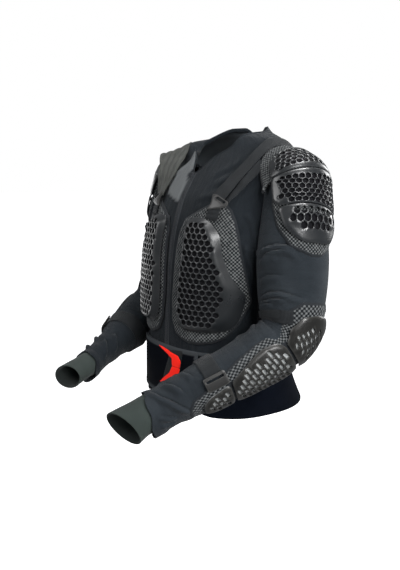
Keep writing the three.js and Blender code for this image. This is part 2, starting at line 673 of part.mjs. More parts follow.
function ribbon({ width, wall, rows }, side, steps) {
  const path = new THREE.CatmullRomCurve3(
    rows.map(({ angle, z, lift }) => new THREE.Vector3(radians(angle), z / 100, lift)));
  const at = (t) => {
    const { x, y, z } = path.getPoint(t);
    return { angle: side * x, height: y * 100, lift: z };
  };
  const middle = (t) => {
    const { angle, height, lift } = at(THREE.MathUtils.clamp(t, 0, 1));
    return onBody(angle, height, lift);
  };
  const geometry = new THREE.BoxGeometry(1, 1, 1, 1, steps, 1);
  return reshape(geometry, (p) => {
    const t = p.y + 0.5;
    const { angle, height } = at(t);
    const normal = bodyNormal(angle, height);
    const ahead = middle(t + 0.02).sub(middle(t - 0.02)).normalize();
    const across = ahead.cross(normal).normalize();
    return middle(t).addScaledVector(across, p.x * width).addScaledVector(normal, (p.z + 0.5) * wall);
  });
}

function addShoulderStraps(side) {
  const name = sideName(side);
  add(`${name}_shoulder_strap`, ribbon(SHOULDER_STRAP, side, 13), 'strap');
  add(`${name}_cup_strap`, ribbon(CUP_STRAP, side, 5), 'strap');
  add(`${name}_chest_tab`, ribbon(CHEST_TAB, side, 2), 'strap');
  const { angle, z, lift, wall, width, height, slotWidth, slotHeight, tilt } = STRAP_BUCKLE;
  const frame = (w, h) => [[-w, -h], [w, -h], [w, h], [-w, h]].map(([u, v]) => [u / 2, v / 2]);
  const [cos, sin] = [Math.cos(tilt), Math.sin(tilt)];
  const middle = bodySection(radians(angle), z).x;
  const place = (u, v, up) => onBodyArc(side * (middle + u * cos - v * sin), z + u * sin + v * cos, up);
  add(`${name}_strap_buckle`, wrap({ outline: rounded(frame(width, height), 5), holes: [frame(slotWidth, slotHeight)],
    flip: side, place, low: fixed(lift), wall, edge: FACET.strapBuckle }), 'buckle');
}

function addBelt() {
  const place = (angle, across, level) => {
    const round = angle + Math.PI / 2;
    const fromFront = Math.acos(Math.cos(round));
    const drop = THREE.MathUtils.smoothstep(fromFront, ...BELT.drop.map(radians));
    const bottom = THREE.MathUtils.lerp(BELT.frontBottom, BELT.backBottom, drop);
    return onBody(round, level > 0 ? BELT.top : bottom, BELT.low + (across + 1) / 2 * BELT.wall);
  };
  add('waist_belt', band(BELT.sides, place), 'belt');
  const lay = (rows, { columns, lift, wall }) =>
    patch({ rows, columns, place: onBodyArc, low: lift, wall: fixed(wall) });
  add('belt_flap', lay(FLAP.rows, FLAP), 'belt');
  add('belt_strip', lay(BELT_STRIP.rows, BELT_STRIP), 'strap');
  const { onFlap, onStrip, slope, wall, bars } = BELT_MARKS;
  const low = (u) => THREE.MathUtils.lerp(onFlap, onStrip, THREE.MathUtils.smoothstep(u, ...slope));
  for (const { name, outline } of bars) {
    const bar = wrap({ outline, holes: [], flip: 1, place: onBodyArc, low, wall, edge: FACET.mark });
    add(`belt_mark_${name}`, bar, 'mark');
  }
}

addJacketBody();
addNeckBinding();
addBelt();
for (const arm of arms) {
  addSleeves(arm);
  addChestGuard(arm.side);
  addShoulderGuard(arm);
  addElbowGuard(arm);
  addShoulderStraps(arm.side);
}

export default jacket;
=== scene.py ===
"""Motorcycle body armour: the looks of a mesh jacket that carries hard guards on foam pads."""
import math
from types import SimpleNamespace

import bpy
import numpy as np
from mathutils import Matrix, Vector, geometry


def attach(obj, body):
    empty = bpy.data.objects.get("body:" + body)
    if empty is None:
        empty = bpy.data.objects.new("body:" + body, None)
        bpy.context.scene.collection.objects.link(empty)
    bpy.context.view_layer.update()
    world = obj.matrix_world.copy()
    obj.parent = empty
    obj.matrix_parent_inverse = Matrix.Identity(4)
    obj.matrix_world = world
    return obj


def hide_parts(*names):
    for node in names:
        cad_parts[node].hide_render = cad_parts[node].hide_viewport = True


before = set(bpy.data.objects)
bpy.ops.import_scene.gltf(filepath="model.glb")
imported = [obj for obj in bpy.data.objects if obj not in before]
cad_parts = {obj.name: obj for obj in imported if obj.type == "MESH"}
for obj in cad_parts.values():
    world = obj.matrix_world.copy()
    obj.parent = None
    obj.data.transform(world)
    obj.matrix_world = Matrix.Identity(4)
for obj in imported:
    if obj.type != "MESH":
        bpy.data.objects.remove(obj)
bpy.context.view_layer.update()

MM = 0.001


def table(columns, rows):
    """Rows of numbers as one array for each named column."""
    return dict(zip(columns.split(), np.array(rows, float).T))


# Forms of the jacket, in millimetres. The wearer faces -Y and the wearer's left is +X.

BODY = table("z half_width front back middle", [
    (-530, 166, 117, 165, 0),
    (-470, 161, 119, 135, 0),
    (-400, 156, 120, 115, 0),
    (-300, 158, 118, 115, 3),
    (-200, 168, 114, 120, 8),
    (-120, 174, 105, 115, 20),
    (-70, 174, 90, 95, 32),
    (-35, 166, 73, 80, 38),
    (-15, 151, 65, 70, 41),
    (5, 125, 62, 65, 42),
    (17, 92, 61, 64, 41),
    (28, 76, 60, 63, 40),
])
BODY_SQUARENESS = 0.82
HEM = -492
BODY_TOP = 28
SIDE_SEAM_Y = 38
ZIP_HALF_WIDTH = 4.5
NECK_PLAN = [(0, -54), (38, -33), (88, -9), (96, 32), (79, 68), (41, 96), (0, 106),
             (-41, 96), (-78, 68), (-94, 32), (-68, -4), (-30, -31)]
RIGHT_SAG = SimpleNamespace(x=-76, y=2, wide=30, deep=42, drop=40, low=-70, high=-15)
CLOTH = 2.0

SLEEVE = table("along in_plane across", [
    (-290, 53, 53),
    (-230, 58, 58),
    (-140, 65, 62),
    (-70, 61, 58),
    (-20, 50, 53),
    (20, 43, 49),
    (50, 45, 50),
    (130, 43, 47),
    (190, 41, 41),
    (210, 38.5, 37),
    (230, 40.5, 36),
    (250, 37.5, 32),
    (290, 38.5, 31),
])
ELBOW_BEND = 64
ELBOW_SEAM = -32
SHOULDER_REACH = 70
SHOULDER_SLOPE = math.radians(61)
SHOULDER_FRONT = math.radians(76)
ELBOW_REACH = 62
WRIST_SLIMMING = (110, 235)
CUFF_WALL = 3
CUFF_COLUMNS = "start_in_plane start_across end_in_plane end_across slant_top slant_near cut".split()
LEFT_CUFF = SimpleNamespace(**dict(zip(CUFF_COLUMNS, (37, 30, 37.5, 29.7, 10.4, 16.0, 0.23))))
RIGHT_CUFF = SimpleNamespace(**dict(zip(CUFF_COLUMNS, (28, 23, 23.5, 28.8, -4.9, 3.6, 0.18))))

OVER_CLOTH = 3.6
PAD_TOP = 8.4
SHELL_LOW = 10.8
SHELL_WALL = 2.8
ELBOW_PAD_TOP = 6.4
ELBOW_SHELL_LOW = 9


def unit(vector):
    return vector / np.linalg.norm(vector, axis=-1, keepdims=True)


def smooth(rows, key, column, x):
    """A soft curve through one column of a table."""
    keys, values = rows[key], rows[column]
    last = len(keys) - 1
    x = np.asarray(x, float)
    i = np.clip(np.searchsorted(keys, x) - 1, 0, last - 1)
    before = np.maximum(np.arange(last + 1) - 1, 0)
    after = np.minimum(np.arange(last + 1) + 1, last)
    slope = (values[after] - values[before]) / (keys[after] - keys[before])
    span = keys[i + 1] - keys[i]
    t = np.clip((x - keys[i]) / span, 0, 1)
    ease = t * t * (3 - 2 * t)
    bend = span * t * (1 - t) * (slope[i] * (1 - t) - slope[i + 1] * t)
    return values[i] * (1 - ease) + values[i + 1] * ease + bend


def smoothstep(x, low, high):
    t = np.clip((np.asarray(x, float) - low) / (high - low), 0, 1)
    return t * t * (3 - 2 * t)


def sag(x, y, z):
    """How far the cloth sags beside the neck on the wearer's right shoulder."""
    near = np.exp(-((x - RIGHT_SAG.x) / RIGHT_SAG.wide) ** 2 - ((y - RIGHT_SAG.y) / RIGHT_SAG.deep) ** 2)
    return RIGHT_SAG.drop * near * smoothstep(z, RIGHT_SAG.low, RIGHT_SAG.high)


def body_section(angle, z, inset=0.0):
    angle, z = np.broadcast_arrays(np.asarray(angle, float), np.asarray(z, float))
    s, c = np.sin(angle), np.cos(angle)
    front = -smooth(BODY, "z", "front", z) + inset
    back = smooth(BODY, "z", "back", z) - inset
    depth = np.where(c > 0, front, back)
    width = smooth(BODY, "z", "half_width", z) - inset
    x = width * np.sign(s) * np.abs(s) ** BODY_SQUARENESS
    y = smooth(BODY, "z", "middle", z) + depth * np.abs(c) ** BODY_SQUARENESS
    return np.stack([x, y, z - sag(x, y, z)], -1)


def body_normal(angle, z):
    around = body_section(angle + 0.01, z) - body_section(angle - 0.01, z)
    up = body_section(angle, z + 1) - body_section(angle, z - 1)
    return unit(np.cross(around, up))


def on_body(angle, z, lift):
    return body_section(angle, z) + body_normal(angle, z) * np.asarray(lift, float)[..., None]


ARC_STEP = 6.0
ARC_LEVELS = np.arange(-560, BODY_TOP + ARC_STEP, ARC_STEP)
ARC_ANGLES = np.radians(np.arange(0, 181))


def arcs_at(z):
    """Arc length from the front centre line at each of ARC_ANGLES."""
    ring = body_section(ARC_ANGLES, z)
    return np.concatenate([[0], np.cumsum(np.linalg.norm(np.diff(ring, axis=0), axis=1))])


ARC_TABLE = np.array([arcs_at(z) for z in ARC_LEVELS])


def angle_at_arc(arc, z):
    arc, z = np.broadcast_arrays(np.asarray(arc, float), np.asarray(z, float))
    level = np.clip((z - ARC_LEVELS[0]) / ARC_STEP, 0, len(ARC_LEVELS) - 1.001)
    floor = level.astype(int)
    angle = np.zeros(arc.shape)
    for i in np.unique(floor):
        here = floor == i
        share = level[here] - i
        low = np.interp(np.abs(arc[here]), ARC_TABLE[i], ARC_ANGLES)
        high = np.interp(np.abs(arc[here]), ARC_TABLE[i + 1], ARC_ANGLES)
        angle[here] = low * (1 - share) + high * share
    return angle * np.sign(arc)


def arc_at_angle(angle, z):
    """Arc length from the front centre line, for angles up to half a turn each way."""
    level = np.clip((z - ARC_LEVELS[0]) / ARC_STEP, 0, len(ARC_LEVELS) - 1.001).astype(int)
    arc = np.zeros(angle.shape)
    for i in np.unique(level):
        here = level == i
        arc[here] = np.interp(np.abs(angle[here]), ARC_ANGLES, ARC_TABLE[i])
    return arc * np.sign(angle)


def on_body_arc(arc, z, lift):
    return on_body(angle_at_arc(arc, z), z, lift)


def inside_body(points, inset):
    """True where points lie inside the body form by more than inset."""
    x, y, z = points.T
    c = y - smooth(BODY, "z", "middle", z)
    depth = np.where(c < 0, smooth(BODY, "z", "front", z), smooth(BODY, "z", "back", z)) - inset
    width = smooth(BODY, "z", "half_width", z) - inset
    power = 2 / BODY_SQUARENESS
    return (np.abs(x) / width) ** power + (np.abs(c) / depth) ** power < 1


def body_height(x, y):
    """Height of the body form over a place in plan."""
    low = np.full(x.shape, -150.0)
    high = np.full(x.shape, float(BODY_TOP))
    for _ in range(30):
        z = (low + high) / 2
        inner = inside_body(np.stack([x, y, z], -1), 0)
        low, high = np.where(inner, z, low), np.where(inner, high, z)
    return low - sag(x, y, low)


def make_arm(side, shoulder, elbow, wrist, cuff_end, wrist_scale, cuff):
    top, bend, hand, end = (np.array(point, float) for point in (shoulder, elbow, wrist, cuff_end))
    upper = unit(bend - top)
    fore = unit(hand - bend)
    outward = unit(np.cross(upper, fore))
    outward = outward * np.sign(outward[0] * side)
    back = np.cross(outward, upper) * side
    turn = math.acos(upper @ fore)
    reach = ELBOW_BEND * math.tan(turn / 2)
    half_arc = ELBOW_BEND * turn / 2
    return SimpleNamespace(
        side=side, name="left" if side > 0 else "right", wrist_scale=wrist_scale, cuff=cuff, top=top, end=end,
        upper=upper, outward=outward, back=back, turn=turn, half_arc=half_arc,
        hub=bend - upper * reach - back * ELBOW_BEND,
        shoulder_along=-half_arc - (np.linalg.norm(bend - top) - reach),
        wrist_along=half_arc + np.linalg.norm(hand - bend) - reach)


LEFT_ARM = make_arm(1, (195, 43, -88), (234, 9, -364), (154, -234, -482), (139, -292, -508), 1.0, LEFT_CUFF)
RIGHT_ARM = make_arm(-1, (-197, 46, -88), (-250, 20, -357), (-129, -230, -456), (-101, -293, -469), 0.76,
                     RIGHT_CUFF)
ARMS = (LEFT_ARM, RIGHT_ARM)
SIDES = (("left", 1), ("right", -1))


def arm_frame(arm, along):
    """Middle of the sleeve, the bend's outer direction and the way ahead."""
    along = np.asarray(along, float)[..., None]
    turned = np.clip(along / ELBOW_BEND + arm.turn / 2, 0, arm.turn)
    normal = arm.back * np.cos(turned) + arm.upper * np.sin(turned)
    ahead = arm.upper * np.cos(turned) - arm.back * np.sin(turned)
    straight = along - (turned * ELBOW_BEND - arm.half_arc)
    return arm.hub + normal * ELBOW_BEND + ahead * straight, normal, ahead


def on_arm(arm, along, angle, lift):
    along, angle, lift = np.broadcast_arrays(*(np.asarray(a, float) for a in (along, angle, lift)))
    middle, normal, _ = arm_frame(arm, along)
    slim = 1 - (1 - arm.wrist_scale) * smoothstep(along, *WRIST_SLIMMING)
    in_plane = (smooth(SLEEVE, "along", "in_plane", along) * slim + lift) * np.cos(angle)
    across = (smooth(SLEEVE, "along", "across", along) * slim + lift) * np.sin(angle)
    return middle + normal * in_plane[..., None] + arm.outward * across[..., None]


def on_shoulder(arm, angle, height, lift):
    angle, height, lift = np.broadcast_arrays(*(np.asarray(a, float) for a in (angle, height, lift)))
    forward = np.array([0.0, -1.0, 0.0])
    forward = unit(forward - arm.upper * (forward @ arm.upper))
    out = np.cross(forward, arm.upper)
    out = out * np.sign(out[0] * arm.side)
    turned = np.clip(height / SHOULDER_REACH, 0, SHOULDER_SLOPE)[..., None]
    normal = out * np.cos(turned) - arm.upper * np.sin(turned)
    inward = -out * np.sin(turned) - arm.upper * np.cos(turned)
    past = np.where(height < 0, height, np.maximum(0, height - SHOULDER_SLOPE * SHOULDER_REACH))
    along = arm.shoulder_along - np.minimum(height, 0)
    radius = smooth(SLEEVE, "along", "across", along) + lift
    bent = np.minimum(angle, SHOULDER_FRONT)
    past_front = (angle - bent) * SHOULDER_REACH
    outwards = radius * np.cos(bent) - past_front * np.sin(bent)
    forwards = radius * np.sin(bent) + past_front * np.cos(bent)
    return arm.top + inward * past[..., None] + normal * outwards[..., None] + forward * forwards[..., None]


def inside_sleeve(arm, points, inset):
    """True where points lie inside the upper sleeve, or its rounded top, by more than inset."""
    off = points - arm.top
    down = off @ arm.upper
    radius = smooth(SLEEVE, "along", "across", arm.shoulder_along + np.maximum(down, 0)) - inset
    aside = np.linalg.norm(off - np.outer(np.maximum(down, 0), arm.upper), axis=1)
    return aside < radius


# Tools for making pieces

FINISHED = "_finished"
WELD = 0.01


def deselect():
    if bpy.context.object and bpy.context.object.mode != "OBJECT":
        bpy.ops.object.mode_set(mode="OBJECT")
    bpy.ops.object.select_all(action="DESELECT")


def pick(piece):
    deselect()
    piece.select_set(True)
    bpy.context.view_layer.objects.active = piece


def edit_all(piece):
    """Goes into edit mode with all of the piece selected."""
    pick(piece)
    bpy.ops.object.mode_set(mode="EDIT")
    bpy.ops.mesh.select_all(action="SELECT")


def edit_done():
    bpy.ops.object.mode_set(mode="OBJECT")


def named(piece, name):
    piece.name = name + FINISHED
    piece.data.name = name + FINISHED
    return piece


def positions(piece):
    flat = np.empty(len(piece.data.vertices) * 3, np.float32)
    piece.data.vertices.foreach_get("co", flat)
    return flat.reshape(-1, 3).astype(float)


def move_to(piece, points):
    """Moves a piece's vertices to points given in millimetres."""
    piece.data.vertices.foreach_set("co", (points * MM).astype(np.float32).ravel())
    piece.data.update()


def lay_uv(piece, u, v):
    """Gives the piece a UV map in metres along its own surface."""
    mesh = piece.data
    layer = mesh.uv_layers.active or mesh.uv_layers.new(name="surface")
    corners = np.empty(len(mesh.loops), np.int32)
    mesh.loops.foreach_get("vertex_index", corners)
    uv = np.stack([u, v], -1)[corners] * MM
    layer.uv.foreach_set("vector", uv.astype(np.float32).ravel())


def mark(piece, name, values):
    """Keeps a number for each vertex, for the material to read."""
    attribute = piece.data.attributes.new(name, "FLOAT", "POINT")
    attribute.data.foreach_set("value", np.asarray(values, np.float32))


def apply_modifier(piece, kind, **settings):
    pick(piece)
    modifier = piece.modifiers.new(kind.lower(), kind)
    for key, value in settings.items():
        setattr(modifier, key, value)
    bpy.ops.object.modifier_apply(modifier=modifier.name)


def thicken(piece, wall):
    """Gives a surface a wall below it."""
    apply_modifier(piece, "SOLIDIFY", thickness=wall * MM, offset=-1)


def line_with(piece, wall, outside, lining):
    """Gives cloth a wall whose inner face has another material: lighter inside the body, as painted light,
    and darker inside the cuffs, as painted shade.
    """
    for material in (outside, lining):
        piece.data.materials.append(material)
    apply_modifier(piece, "SOLIDIFY", thickness=wall * MM, offset=-1, material_offset=1)


def smooth_shade(piece, degrees=50):
    pick(piece)
    bpy.ops.object.shade_smooth_by_angle(angle=math.radians(degrees))


def weld(piece):
    """Closes the seam of a grid that meets itself."""
    edit_all(piece)
    bpy.ops.mesh.remove_doubles(threshold=WELD * MM)
    edit_done()


def grid_piece(name, columns, rows, place, flip=False, ring=False):
    """A grid primitive laid on a form. place(across, up) gives its points and two surface lengths."""
    deselect()
    bpy.ops.mesh.primitive_grid_add(x_subdivisions=columns, y_subdivisions=rows, size=1)
    piece = named(bpy.context.object, name)
    flat = positions(piece)
    points, u, v = place(flat[:, 0] + 0.5, flat[:, 1] + 0.5)
    move_to(piece, points)
    lay_uv(piece, u, v)
    if ring:
        weld(piece)
    if flip:
        edit_all(piece)
        bpy.ops.mesh.flip_normals()
        edit_done()
    return piece


def delete_faces(piece, test):
    """Deletes the faces whose middles the test picks."""
    mesh = piece.data
    centres = np.empty(len(mesh.polygons) * 3, np.float32)
    mesh.polygons.foreach_get("center", centres)
    picked = test(centres.reshape(-1, 3).astype(float) / MM)
    pick(piece)
    bpy.ops.object.mode_set(mode="EDIT")
    bpy.ops.mesh.select_mode(type="FACE")
    bpy.ops.mesh.select_all(action="DESELECT")
    edit_done()
    mesh.polygons.foreach_set("select", picked)
    bpy.ops.object.mode_set(mode="EDIT")
    bpy.ops.mesh.delete(type="FACE")
    bpy.ops.mesh.select_mode(type="VERT")
    edit_done()


def mesh_piece(name, points, faces, u, v):
    """A piece from points in millimetres and faces."""
    mesh = bpy.data.meshes.new(name)
    mesh.from_pydata((points * MM).tolist(), [], faces)
    piece = named(bpy.data.objects.new(name, mesh), name)
    bpy.context.scene.collection.objects.link(piece)
    lay_uv(piece, u, v)
    return piece


def joined(pieces, name):
    deselect()
    for piece in pieces:
        piece.select_set(True)
    bpy.context.view_layer.objects.active = pieces[0]
    bpy.ops.object.join()
    return named(bpy.context.object, name)


def stands_in(piece, material):
    """A finished piece: it rides on the jacket, replaces the solid of its name, and has its finish."""
    if not piece.data.materials:
        piece.data.materials.append(material)
    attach(piece, "root")
    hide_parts(piece.name.removesuffix(FINISHED))
    return piece


def fold_height(folds, p, q):
    """Height of cloth folds at places on a surface: a crease along each line, and a ridge to its right."""
    total = np.zeros(np.shape(p))
    for height, width, line in folds:
        line = np.array(line, float)
        steps = np.linalg.norm(np.diff(line, axis=0), axis=1)
        gone = np.concatenate([[0], np.cumsum(steps)])
        nearest = np.full(np.shape(p), 1e9)
        side = np.zeros(np.shape(p))
        share = np.zeros(np.shape(p))
        for start, end, step, done in zip(line[:-1], line[1:], steps, gone):
            way = (end - start) / step
            t = np.clip((p - start[0]) * way[0] + (q - start[1]) * way[1], 0, step)
            off_p, off_q = p - start[0] - way[0] * t, q - start[1] - way[1] * t
            distance = np.hypot(off_p, off_q)
            closer = distance < nearest
            nearest = np.where(closer, distance, nearest)
            side = np.where(closer, np.sign(off_p * way[1] - off_q * way[0]) * distance, side)
            share = np.where(closer, (done + t) / gone[-1], share)
        taper = np.clip(1.1 - (2 * share - 1) ** 4, 0, 1)
        ridge = np.exp(-((side + width) / width) ** 2)
        crease = np.exp(-(side / (0.38 * width)) ** 2)
        total += height * taper * (ridge - 0.8 * crease)
    return total


def ripple(p, q, size, height, seed):
    """Slow waves that keep a cloth from looking moulded."""
    random = np.random.default_rng(seed)
    total = np.zeros(np.shape(p))
    for _ in range(5):
        turn, phase = random.uniform(0, 2 * math.pi, 2)
        wave = size * random.uniform(0.6, 1.7)
        total += np.sin(2 * math.pi * (p * math.cos(turn) + q * math.sin(turn)) / wave + phase)
    return total * height / 5


# Outlines and pierced plates

def rounded(points, radius, steps=6):
    """A closed outline with its corners turned into short curves."""
    corners = np.array(points, float)
    t = np.linspace(0, 1, steps)[:, None]
    curve = []
    for before, at, after in zip(np.roll(corners, 1, 0), corners, np.roll(corners, -1, 0)):
        back, on = before - at, after - at
        cut = min(radius, np.linalg.norm(back) / 2.1, np.linalg.norm(on) / 2.1)
        start, end = at + unit(back) * cut, at + unit(on) * cut
        curve.append(start * (1 - t) ** 2 + at * 2 * t * (1 - t) + end * t ** 2)
    return np.concatenate(curve)


def even(outline, spacing):
    """The outline again, counter-clockwise, with its points evenly spaced."""
    closed = np.vstack([outline, outline[:1]])
    steps = np.linalg.norm(np.diff(closed, axis=0), axis=1)
    gone = np.concatenate([[0], np.cumsum(steps)])
    count = max(8, round(gone[-1] / spacing))
    at = np.linspace(0, gone[-1], count, endpoint=False)
    points = np.stack([np.interp(at, gone, closed[:, i]) for i in range(2)], -1)
    u, v = points.T
    area = np.sum(u * np.roll(v, -1) - v * np.roll(u, -1))
    return points if area > 0 else points[::-1]


def inset_loop(loop, distance):
    """A counter-clockwise loop moved inwards."""
    ahead = unit(np.roll(loop, -1, 0) - np.roll(loop, 1, 0))
    return loop + np.stack([-ahead[:, 1], ahead[:, 0]], -1) * distance


def inside(loop, points):
    u, v = points.T
    odd = np.zeros(len(points), bool)
    for (u1, v1), (u2, v2) in zip(loop, np.roll(loop, 1, 0)):
        crosses = (v1 > v) != (v2 > v)
        level = (v2 - v1) or 1e-12
        odd ^= crosses & (u < u1 + (u2 - u1) * (v - v1) / level)
    return odd


def rim_distance(loop, points):
    """Distance of points to a closed loop."""
    nearest = np.full(len(points), 1e9)
    for start, end in zip(loop, np.roll(loop, -1, 0)):
        way = end - start
        t = np.clip((points - start) @ way / max(way @ way, 1e-12), 0, 1)
        nearest = np.minimum(nearest, np.linalg.norm(points - start - t[:, None] * way, axis=1))
    return nearest


def honeycomb(zone, edge, pitch, across):
    """Six-sided holes with eased corners in staggered rows, where the zone and the edge have room."""
    low, high = zone.min(0), zone.max(0)
    turns = np.radians(30 + 60 * np.arange(6)[:, None] + np.array([-9, 9])).ravel()
    cell = np.stack([np.cos(turns), np.sin(turns)], -1) * across / math.sqrt(3) * 0.97
    rise = pitch * math.sqrt(3) / 2
    holes = []
    for row in range(int((high[1] - low[1]) / rise) + 1):
        v = low[1] + row * rise
        for u in np.arange(low[0] - (row % 2) * pitch / 2, high[0] + pitch, pitch):
            middle = np.array([u, v])
            if inside(zone, middle[None])[0] and inside(edge, middle + cell * 1.15).all():
                holes.append(middle + cell)
    return holes


def bricks(zone, edge, along, across, gap, web, lean):
    """Slots with eased corners, end to end in staggered rows that lean along the form."""
    low, high = zone.min(0), zone.max(0)
    box = np.array([(-along, -across), (along, -across), (along, across), (-along, across)]) / 2
    slot = even(rounded(box, across / 4, 3), 1.8)
    slot[:, 1] += lean * slot[:, 0]
    reach = abs(lean) * (high[0] - low[0]) / 2
    holes = []
    for row, start in enumerate(np.arange(low[1] - reach, high[1] + reach, across + web)):
        for u in np.arange(low[0] - (row % 2) * (along + gap) / 2, high[0] + along, along + gap):
            middle = np.array([u, start + lean * (u - (low[0] + high[0]) / 2)])
            if inside(zone, middle[None])[0] and inside(edge, middle + slot * 1.12).all():
                holes.append(middle + slot)
    return holes


def plate_net(outline, holes, spacing, ease):
    """A flat net of triangles inside an outline and round its holes, with a second loop along each edge."""
    rim = even(outline, spacing)
    loops = [(rim, "rim"), (inset_loop(rim, ease * 2), "top")]
    for hole in holes:
        middle = hole.mean(0)
        reach = np.linalg.norm(hole - middle, axis=1).min()
        loops.append((hole, "hole"))
        loops.append((middle + (hole - middle) * (1 + ease / reach), "top"))
    low, high = rim.min(0), rim.max(0)
    rows = np.arange(low[1], high[1], spacing * math.sqrt(3) / 2)
    fill = np.concatenate([
        np.stack([np.arange(low[0], high[0], spacing) + (i % 2) * spacing / 2,
                  np.full(len(np.arange(low[0], high[0], spacing)), v)], -1) for i, v in enumerate(rows)])
    fill = fill[inside(loops[1][0], fill)]
    fill = fill[rim_distance(loops[1][0], fill) > spacing * 0.45]
    for hole in holes:
        near = np.abs(fill - hole.mean(0)).max(1) < np.ptp(hole, axis=0).max() + spacing
        keep = np.ones(len(fill), bool)
        outer = fill[near]
        keep[near] = ~inside(hole, outer) & (rim_distance(hole, outer) > ease + spacing * 0.4)
        fill = fill[keep]
    points, edges, kind, owner = [], [], [], []
    for number, (loop, what) in enumerate(loops):
        start = len(points)
        points += list(loop)
        edges += [(start + i, start + (i + 1) % len(loop)) for i in range(len(loop))]
        kind += [what] * len(loop)
        owner += [number] * len(loop)
    points += list(fill)
    kind += ["top"] * len(fill)
    owner += [-1] * len(fill)
    found = geometry.delaunay_2d_cdt([Vector(p) for p in points], edges, [], 0, 1e-5)
    places, faces, origins = found[0], found[2], found[3]
    flat = np.array([tuple(p) for p in places])
    tag = np.array([owner[o[0]] if o else -1 for o in origins])
    eased = np.array([bool(o) and kind[o[0]] != "top" for o in origins])
    corners = np.array([tuple(f) for f in faces])
    same = (tag[corners] == tag[corners][:, :1]).all(1)
    first = tag[corners[:, 0]]
    hole_face = same & (first >= 2) & (first % 2 == 0)
    keep = ~hole_face & inside(rim, flat[corners].mean(1))
    return flat, corners[keep], eased


def even_top(height):
    """A top with the same height all over."""
    return lambda flat: np.full(len(flat), height)


def plate(name, outline, holes, place, lift, wall, flip, spacing, ease, binding=None):
    """A plate with holes laid on a form, its edges eased over. lift(points) is the height of its top."""
    flat, faces, eased = plate_net(outline, holes, spacing, ease)
    height = lift(flat) - np.where(eased, ease, 0)
    faces = faces[:, ::-1] if flip else faces
    piece = mesh_piece(name, place(flat[:, 0], flat[:, 1], height), faces.tolist(), flat[:, 0], flat[:, 1])
    if binding:
        mark(piece, "binding", binding(flat))
    thicken(piece, wall)
    smooth_shade(piece)
    return piece


# Materials

def new_material(name, roughness, colour=(0.5, 0.5, 0.5), **sockets):
    material = bpy.data.materials.new(name)
    material.use_nodes = True
    shader = material.node_tree.nodes["Principled BSDF"]
    shader.inputs["Base Color"].default_value = (*colour, 1)
    shader.inputs["Roughness"].default_value = roughness
    for key, value in sockets.items():
        shader.inputs[key.replace("_", " ")].default_value = value
    return material, shader


def node(material, kind, inputs=(), **settings):
    made = material.node_tree.nodes.new(kind)
    for key, value in settings.items():
        setattr(made, key, value)
    for key, value in dict(inputs).items():
        if isinstance(value, bpy.types.NodeSocket):
            material.node_tree.links.new(value, made.inputs[key])
        else:
            made.inputs[key].default_value = value
    return made


def link(material, start, end):
    material.node_tree.links.new(start, end)


def maths(material, operation, first, second=0.0):
    return node(material, "ShaderNodeMath", {0: first, 1: second}, operation=operation).outputs[0]


def noise(material, coordinates, scale, detail=3.0):
    made = node(material, "ShaderNodeTexNoise", {"Vector": coordinates, "Scale": scale, "Detail": detail})
    return made.outputs["Fac"]


def span(material, value, low, high, to_low, to_high):
    """A value's range turned into another."""
    inputs = {"Value": value, "From Min": low, "From Max": high, "To Min": to_low, "To Max": to_high}
    return node(material, "ShaderNodeMapRange", inputs).outputs[0]


def blend(material, share, first, second):
    """A colour between two, each a colour or a socket."""
    mix = node(material, "ShaderNodeMix", {"Factor": share}, data_type="RGBA")
    for socket, value in ((mix.inputs[6], first), (mix.inputs[7], second)):
        if isinstance(value, bpy.types.NodeSocket):
            link(material, value, socket)
        else:
            socket.default_value = (*value, 1)
    return mix.outputs[2]


def bump(material, shader, height, strength, distance, under=()):
    """Raises the surface by a height over, if given, another bump."""
    inputs = {"Height": height, "Strength": strength, "Distance": distance * MM, **dict(under)}
    made = node(material, "ShaderNodeBump", inputs).outputs[0]
    link(material, made, shader.inputs["Normal"])
    return {"Normal": made}


def waves(material, uv, period):
    """Cosine waves along both directions of a surface, with the period in millimetres."""
    parts = node(material, "ShaderNodeSeparateXYZ", {0: uv}).outputs
    turn = 2 * math.pi / (period * MM)
    return [maths(material, "COSINE", maths(material, "MULTIPLY", part, turn)) for part in parts[:2]]


def surface_places(material):
    coordinates = node(material, "ShaderNodeTexCoord").outputs
    return coordinates["UV"], coordinates["Object"]


def cloth_material(name, colour, shade):
    """Fine knitted mesh: small holes in rows, a slow change of tone, long creases, and a pool of light
    painted on the lapel.
    """
    material, shader = new_material(name, 0.88, Specular_IOR_Level=0.04, Sheen_Weight=0.06,
                                    Sheen_Roughness=0.45)
    uv, place = surface_places(material)
    across, along = waves(material, uv, KNIT)
    knit = maths(material, "MULTIPLY", across, along)
    tone = span(material, noise(material, place, 16, 4), 0.3, 0.7, 0, 1)
    grain = span(material, noise(material, place, 900, 2), 0.3, 0.7, -0.12, 0.12)
    share = maths(material, "ADD", maths(material, "MULTIPLY", tone, 0.55), grain)
    share = maths(material, "ADD", share, maths(material, "MULTIPLY", knit, 0.22))
    # The lapel mask blends in the painted light on the lapel.
    lapel = node(material, "ShaderNodeAttribute", attribute_name="lapel").outputs["Fac"]
    knitted = blend(material, share, shade, colour)
    link(material, blend(material, lapel, knitted, LAPEL_PAINTED_LIGHT), shader.inputs["Base Color"])
    stretched = node(material, "ShaderNodeMapping", {"Vector": uv, "Scale": (1.0, 0.22, 1.0)}).outputs[0]
    creases = bump(material, shader, noise(material, stretched, 55, 4), 0.75, 5.0)
    bump(material, shader, knit, 0.5, 0.35, creases)
    return material


